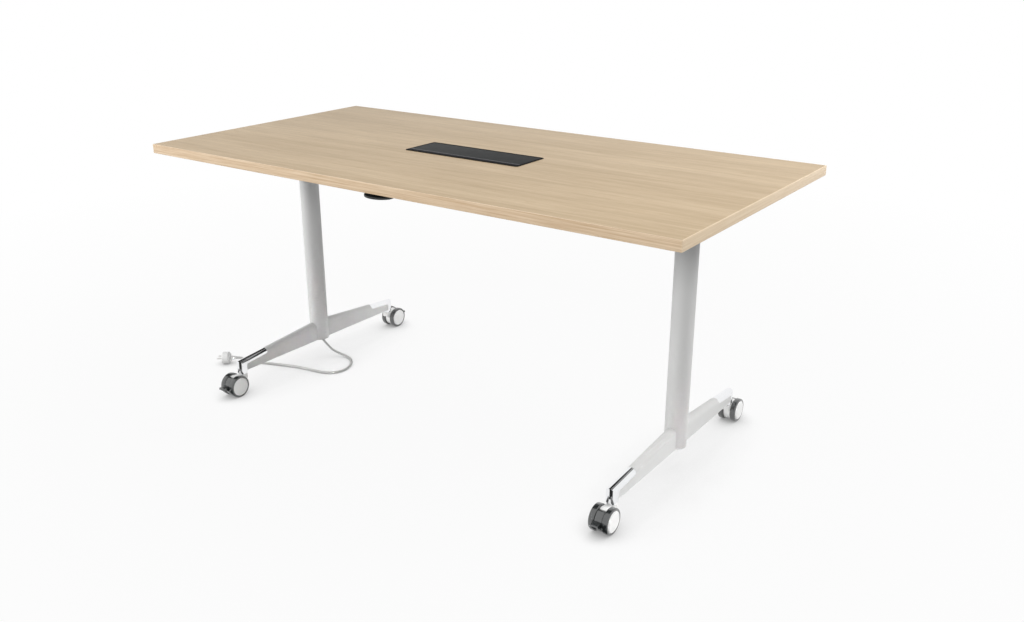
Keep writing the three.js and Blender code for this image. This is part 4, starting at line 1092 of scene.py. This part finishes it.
lid_depth = lid_moulding.node("ShaderNodeSeparateXYZ", {}, {"Vector": lid_moulding.place()}, "Y")
# The lid's front band is painted paler: a painted highlight along its bevelled edge.
behind_lid_highlight = lid_moulding.between(lid_depth, lid_low.y + LID_HIGHLIGHT_BAND, lid_low.y + LID_HIGHLIGHT_BAND + LID_EASE)
lid_moulding.dress({
    "Base Color": lid_moulding.mix(behind_lid_highlight, colour(86, 86, 88), lid_face),
    "Roughness": 0.55 + 0.14 * lid_mottle + 0.1 * lid_grain,
    "Normal": lid_moulding.bump(lid_grain, 0.03 * MM),
})
fit("lid", carve(lid, lid_pins, "UNION"), lid_moulding, "power_lid", "dark_plastic", "power_lid")

# Release paddle
# A black moulded finger paddle just behind the front edge. It rocks on a pin in its bracket, and its tail
# pulls both release cables.
PADDLE_EASE = 1.5 * MM
PADDLE_NECK = 52 * MM
PADDLE_SHOULDER = 7.2 * MM
PADDLE_NOSE = 0.7
PADDLE_TAIL = 16 * MM
PADDLE_BARREL = 10 * MM
PADDLE_PIN = 4 * MM

paddle_low, paddle_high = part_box("release_handle")
paddle_axis = joint_place["release_lever"]
paddle_half = paddle_high.x
paddle_cheek = (paddle_low.y + paddle_axis.y) / 2
paddle_back = paddle_axis.y - PADDLE_SHOULDER
paddle_depth = (paddle_axis.z - 3 * MM, paddle_axis.z + 3 * MM)


def nose_curve(start, pull, end, steps=12):
    """A curve from start to end, drawn towards a third point."""
    shares = [k / steps for k in range(steps + 1)]
    return [start.lerp(pull, t).lerp(pull.lerp(end, t), t) for t in shares]


nose = Vector((0, paddle_low.y))
paddle_outline = [
    Vector((paddle_half, paddle_back)), Vector((-paddle_half, paddle_back)),
    *nose_curve(Vector((-paddle_half, paddle_cheek)), Vector((-paddle_half * PADDLE_NOSE, nose.y)), nose),
    *nose_curve(nose, Vector((paddle_half * PADDLE_NOSE, nose.y)), Vector((paddle_half, paddle_cheek)))[1:],
]
paddle = prism(paddle_outline, paddle_depth, "Z", PADDLE_EASE)
neck_half = PADDLE_NECK / 2
neck = prism(block_outline(-neck_half, neck_half, paddle_back - 4 * MM, paddle_axis.y, 0),
             (paddle_depth[0] + 0.1 * MM, paddle_depth[1] - 0.1 * MM), "Z")
barrel = turned(rod(PADDLE_BARREL / 2, (-neck_half, neck_half), 0.6 * MM), paddle_axis, (1, 0, 0), 40)
tail = prism(block_outline(-PADDLE_TAIL / 2, PADDLE_TAIL / 2, paddle_axis.y, paddle_high.y, 1.5 * MM),
             paddle_depth, "Z", 0.6 * MM)
for part in (neck, barrel, tail):
    paddle = carve(paddle, part, "UNION")
pin_bore = rod(PADDLE_PIN / 2 + SEAM, (-0.1, 0.1), 0)
paddle = carve(paddle, turned(pin_bore, paddle_axis, (1, 0, 0), 24))
fit("paddle", paddle, black_moulding, "release_handle", "black_plastic", "release_handle")

# Paddle bracket
# A black moulded bracket screwed under the top. Its two cheeks hold the paddle's steel pin, and the
# cables' sheaths end against its back wall.
bracket = eased("handle_bracket", 0.6 * MM)
fit("paddle_bracket", bracket, black_moulding, "top", "black_plastic", "handle_bracket")
paddle_pin_low, paddle_pin_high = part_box("handle_pin")
paddle_pin = rod(PADDLE_PIN / 2, (paddle_pin_low.x, paddle_pin_high.x), 0.5 * MM)
fit("paddle_pin", turned(paddle_pin, (0, paddle_axis.y, paddle_axis.z), (1, 0, 0), 32), zinc_steel, "top",
    "steel", "handle_pin")

# Release cables
# Two black sheathed wires run under the board from the paddle's bracket to the lock housings. Moulded
# saddles hold them up to the board.
CABLE_DIAMETER = 4.8 * MM
CABLE_RUN = 3.6 * MM
CABLE_SPREAD = 18 * MM
CABLE_END = 50.6 * MM
SADDLE_SPACING = 90 * MM
# Shares of a cable's way outwards and backwards to its lock, and of its rise to the board
CABLE_START_BENDS = [(0, 0, 0), (0, 0.045, 0.12), (0.025, 0.165, 1), (0.11, 0.325, 1), (0.26, 0.495, 1),
                     (0.51, 0.68, 1)]
CABLE_END_BENDS = [(0.765, 0.86, 1), (0.89, 0.96, 0.8), (0.955, 0.993, 0.26), (0.982, 1, 0.015), (1, 1, 0)]

run_sizes = {
    "Route": "Geometry", "Diameter": "Float", "Run Height": "Float", "Spacing": "Float", "Saddle": "Vector",
    "Finish": "Material",
}
runs = Tree("runs", run_sizes, "Run")
line = runs.node("GeometryNodeMeshToCurve", {}, {"Mesh": runs.inputs["Route"]})
line = runs.node("GeometryNodeCurveSplineType", {"spline_type": "CATMULL_ROM"}, {"Curve": line})
line = runs.node("GeometryNodeSetSplineResolution", {}, {"Geometry": line, "Resolution": 10})
run_radius = runs.node("ShaderNodeMath", {"operation": "MULTIPLY"}, {0: runs.inputs["Diameter"], 1: 0.5})
ring = runs.node("GeometryNodeCurvePrimitiveCircle", {}, {"Resolution": 20, "Radius": run_radius})
sheath = runs.node("GeometryNodeCurveToMesh", {}, {"Curve": line, "Profile Curve": ring, "Fill Caps": True})
stops = runs.node("GeometryNodeCurveToPoints", {"mode": "LENGTH"}, {"Curve": line, "Length": runs.inputs["Spacing"]})
spot = runs.node("GeometryNodeInputPosition")
spot_height = runs.node("ShaderNodeSeparateXYZ", {}, {"Vector": spot}, "Z")
at_board = runs.node("ShaderNodeMath", {"operation": "SUBTRACT"}, {0: runs.inputs["Run Height"], 1: 0.2 * MM})
held = runs.node("FunctionNodeCompare", {"operation": "GREATER_THAN"}, {"A": spot_height, "B": at_board})
lengthwise = runs.node("FunctionNodeAlignRotationToVector", {"axis": "X", "pivot_axis": "Z"},
                       {"Vector": stops.node.outputs["Tangent"]})
saddle_radius = runs.node("ShaderNodeMath", {"operation": "MULTIPLY"}, {0: runs.inputs["Diameter"], 1: 0.72})
saddle_size = runs.node("ShaderNodeSeparateXYZ", {}, {"Vector": runs.inputs["Saddle"]}, "X")
saddle_hoop = runs.node("GeometryNodeMeshCylinder", {}, {
    "Vertices": 24, "Radius": saddle_radius, "Depth": saddle_size,
})
saddle_hoop = runs.node("GeometryNodeTransform", {}, {"Geometry": saddle_hoop, "Rotation": (0, math.pi / 2, 0)})
saddle_foot = runs.node("GeometryNodeMeshCube", {}, {"Size": runs.inputs["Saddle"]})
foot_rise = runs.node("ShaderNodeMath", {"operation": "MULTIPLY"}, {0: saddle_size.node.outputs["Z"], 1: 0.5})
foot_rise = runs.node("ShaderNodeCombineXYZ", {}, {"Z": foot_rise})
saddle_foot = runs.node("GeometryNodeTransform", {}, {"Geometry": saddle_foot, "Translation": foot_rise})
saddle = runs.node("GeometryNodeMeshBoolean", {"operation": "UNION"}, {"Mesh 2": [saddle_hoop, saddle_foot]})
saddles = runs.node("GeometryNodeInstanceOnPoints", {}, {
    "Points": stops, "Selection": held, "Instance": saddle, "Rotation": lengthwise,
})
runs.finish(runs.node("GeometryNodeJoinGeometry", {}, {"Geometry": [sheath, saddles]}))

underside = board_low.z
run_height = underside - CABLE_RUN
bolt_height = (bolt_low.z + bolt_high.z) / 2
cable_start = paddle_axis.z + PADDLE_BARREL / 2 - CABLE_DIAMETER / 2
bracket_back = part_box("handle_bracket")[1].y + SEAM
cable_way = column_x - CABLE_END - CABLE_SPREAD
for hand, side in SIDES.items():
    route = []
    for bends, height in ((CABLE_START_BENDS, cable_start), (CABLE_END_BENDS, bolt_height)):
        for out, back, rise in bends:
            across = side * (CABLE_SPREAD + out * cable_way)
            route.append((across, bracket_back * (1 - back), height + rise * (run_height - height)))
    steps = [(k, k + 1) for k in range(len(route) - 1)]
    runs.make("cable_" + hand, route, steps, {
        "Diameter": CABLE_DIAMETER, "Run Height": run_height, "Spacing": SADDLE_SPACING,
        "Saddle": (8 * MM, 12 * MM, CABLE_RUN - SEAM), "Finish": black_moulding.material,
    }, "top", "black_plastic", "release_cable_" + hand)

# Lead of the sockets
# A pale sheathed lead from the tray's end wall along the underside to the left hinge, held up by the same
# kind of saddle.
LEAD_DIAMETER = 7.2 * MM
LEAD_RUN = 4.8 * MM
LEAD_DROP = 13 * MM
# Shares of the lead's way to the hinge, and of its rise to the board
LEAD_BENDS = [(0, 0), (0.035, 0), (0.115, 0.5), (0.205, 0.97), (0.33, 1), (0.85, 1), (0.95, 1), (1, 1)]

lead_low, lead_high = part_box("module_lead")
lead_y = (lead_low.y + lead_high.y) / 2
lead_height = underside - LEAD_RUN
lead_route = []
for along, rise in LEAD_BENDS:
    lead_x = lead_high.x + along * (lead_low.x - lead_high.x)
    lead_route.append((lead_x, lead_y, lead_height - (1 - rise) * LEAD_DROP))
steps = [(k, k + 1) for k in range(len(lead_route) - 1)]
runs.make("lead_sheath", lead_route, steps, {
    "Diameter": LEAD_DIAMETER, "Run Height": lead_height, "Spacing": SADDLE_SPACING,
    "Saddle": (8 * MM, 15 * MM, LEAD_RUN - SEAM), "Finish": pale_sheath.material,
}, "top", "pale_cord", "module_lead")

# Floor and light
# A plain white studio floor that fades into the white background, with a contact shadow painted into its white
# where something stands on it.
# Broad soft lamps stand round the table, a weak one near the floor lights the feet, and the white all round
# adds more from above than from below. Black cards give the chrome its dark reflections.
FLOOR_REACH = 12
FLOOR_WHITE = 0.94
FLOOR_FADE = (1.1, 3.2)
CONTACT_REACH = 0.3
CONTACT_OPEN = (0.05, 0.88)
FLAG_REACH = (0.07, 0.36)
FLAG_TURN = (-15, 45)
FLAG_OVER = 1.6
ROUND_LIGHT = (0.1, 0.55)
LAMPS = {
    "key_left": {"place": (-3.3, -2.6, 1.65), "aim": (-0.3, 0, 0.5), "width": 3.4, "height": 1.6, "power": 127},
    "front": {"place": (1.5, -3.3, 2.0), "aim": (0.4, 0, 0.4), "width": 2.4, "height": 1.0, "power": 48},
    "high_rear": {"place": (2.3, 1.3, 2.9), "aim": (0.5, 0, 0.4), "width": 1.8, "height": 1.4, "power": 74},
    "low_rear": {"place": (1.9, 2.7, 0.55), "aim": (0, 0, 0.3), "width": 2.8, "height": 0.7, "power": 16},
    "low_front": {"place": (4.4, -2.7, 0.06), "aim": (-0.1, -0.14, 0.04), "width": 1.3, "height": 0.1,
                  "power": 0.44, "spread": 8},
}

floor_mesh = bpy.data.meshes.new("floor")
floor_corners = [(-FLOOR_REACH, -FLOOR_REACH, 0), (FLOOR_REACH, -FLOOR_REACH, 0),
                 (FLOOR_REACH, FLOOR_REACH, 0), (-FLOOR_REACH, FLOOR_REACH, 0)]
floor_mesh.from_pydata(floor_corners, [], [(0, 1, 2, 3)])
floor = bpy.data.objects.new("floor", floor_mesh)
scene.collection.objects.link(floor)


def seen_share(nodes, links):
    """1 for what the camera, a reflection or a clear surface shows, and 0 for light that is cast on."""
    rays = nodes.new("ShaderNodeLightPath").outputs
    share = rays["Is Camera Ray"]
    for kind in ("Is Glossy Ray", "Is Transmission Ray"):
        total = nodes.new("ShaderNodeMath")
        links.new(share, total.inputs[0])
        links.new(rays[kind], total.inputs[1])
        share = total.outputs[0]
    return share


floor_white = Finish("floor_white", {"Base Color": colour(178, 178, 178), "Roughness": 0.8})
from_table = floor_white.node("ShaderNodeVectorMath", {"operation": "LENGTH"}, {0: floor_white.place()})
faded = floor_white.between(from_table, *FLOOR_FADE)
white_share = FLOOR_WHITE + (1 - FLOOR_WHITE) * faded
white_share = white_share * Value(floor_white, seen_share(floor_white.nodes, floor_white.links))
lit_floor = Value(floor_white, floor_white.shader.outputs["BSDF"])
open_share = floor_white.node("ShaderNodeAmbientOcclusion", {"samples": 16}, {"Distance": CONTACT_REACH}, "AO")
# Near the feet the floor's shown white is darkened by ambient occlusion: a painted contact shadow.
contact = floor_white.mix(floor_white.between(open_share, *CONTACT_OPEN), colour(130, 130, 130), colour(255, 255, 255))
painted_shadow_floor = floor_white.node("ShaderNodeEmission", {}, {"Color": contact})
shown_floor = floor_white.node("ShaderNodeMixShader", {}, {0: white_share, 1: lit_floor, 2: painted_shadow_floor})
floor_white.links.new(shown_floor.socket, floor_white.nodes["Material Output"].inputs["Surface"])
floor_mesh.materials.append(floor_white.material)

flag_black = Finish("flag_black", {"Base Color": colour(10, 10, 10), "Roughness": 0.9})
flags = {"flag_over_left": [(-FLAG_OVER, band_low.y, board_low.z), (band_low.x, band_low.y, board_low.z),
                            (band_low.x, band_high.y, board_low.z), (-FLAG_OVER, band_high.y, board_low.z)]}
for hand, side in SIDES.items():
    near, far = FLAG_REACH
    left, right = FLAG_TURN
    corners = []
    for reach, turn in ((near, left), (near, right), (far, right), (far, left)):
        way = math.radians(turn)
        corners.append((side * column_x + reach * math.sin(way), -stem_reach - reach * math.cos(way), 1 * MM))
    flags["flag_toe_" + hand] = corners
for name, corners in flags.items():
    flag_mesh = bpy.data.meshes.new(name)
    flag_mesh.from_pydata(corners, [], [(0, 1, 2, 3)])
    flag_mesh.materials.append(flag_black.material)
    flag = bpy.data.objects.new(name, flag_mesh)
    scene.collection.objects.link(flag)
    flag.visible_camera = False
    flag.visible_diffuse = False
    flag.visible_shadow = False

studio = bpy.data.worlds.new("studio")
studio.use_nodes = True
scene.world = studio
studio_nodes = studio.node_tree.nodes
studio_links = studio.node_tree.links
sky = studio_nodes.new("ShaderNodeTexCoord")
height = studio_nodes.new("ShaderNodeSeparateXYZ")
studio_links.new(sky.outputs["Generated"], height.inputs[0])
cast = studio_nodes.new("ShaderNodeMapRange")
cast.inputs["To Min"].default_value = ROUND_LIGHT[0]
cast.inputs["To Max"].default_value = ROUND_LIGHT[1]
studio_links.new(height.outputs["Z"], cast.inputs["Value"])
brightness = studio_nodes.new("ShaderNodeMapRange")
studio_links.new(cast.outputs[0], brightness.inputs["To Min"])
studio_links.new(seen_share(studio_nodes, studio_links), brightness.inputs["Value"])
studio_nodes["Background"].inputs["Color"].default_value = (1, 1, 1, 1)
studio_links.new(brightness.outputs[0], studio_nodes["Background"].inputs["Strength"])

for name, facts in LAMPS.items():
    lamp = bpy.data.objects.new(name, bpy.data.lights.new(name, "AREA"))
    lamp.data.shape = "RECTANGLE"
    lamp.data.size = facts["width"]
    lamp.data.size_y = facts["height"]
    lamp.data.energy = facts["power"]
    lamp.location = facts["place"]
    lamp.data.spread = math.radians(facts.get("spread", 180))
    lamp.visible_camera = False
    lamp.visible_glossy = False
    aim = Vector(facts["aim"]) - Vector(facts["place"])
    lamp.rotation_euler = aim.to_track_quat("-Z", "Y").to_euler()
    scene.collection.objects.link(lamp)
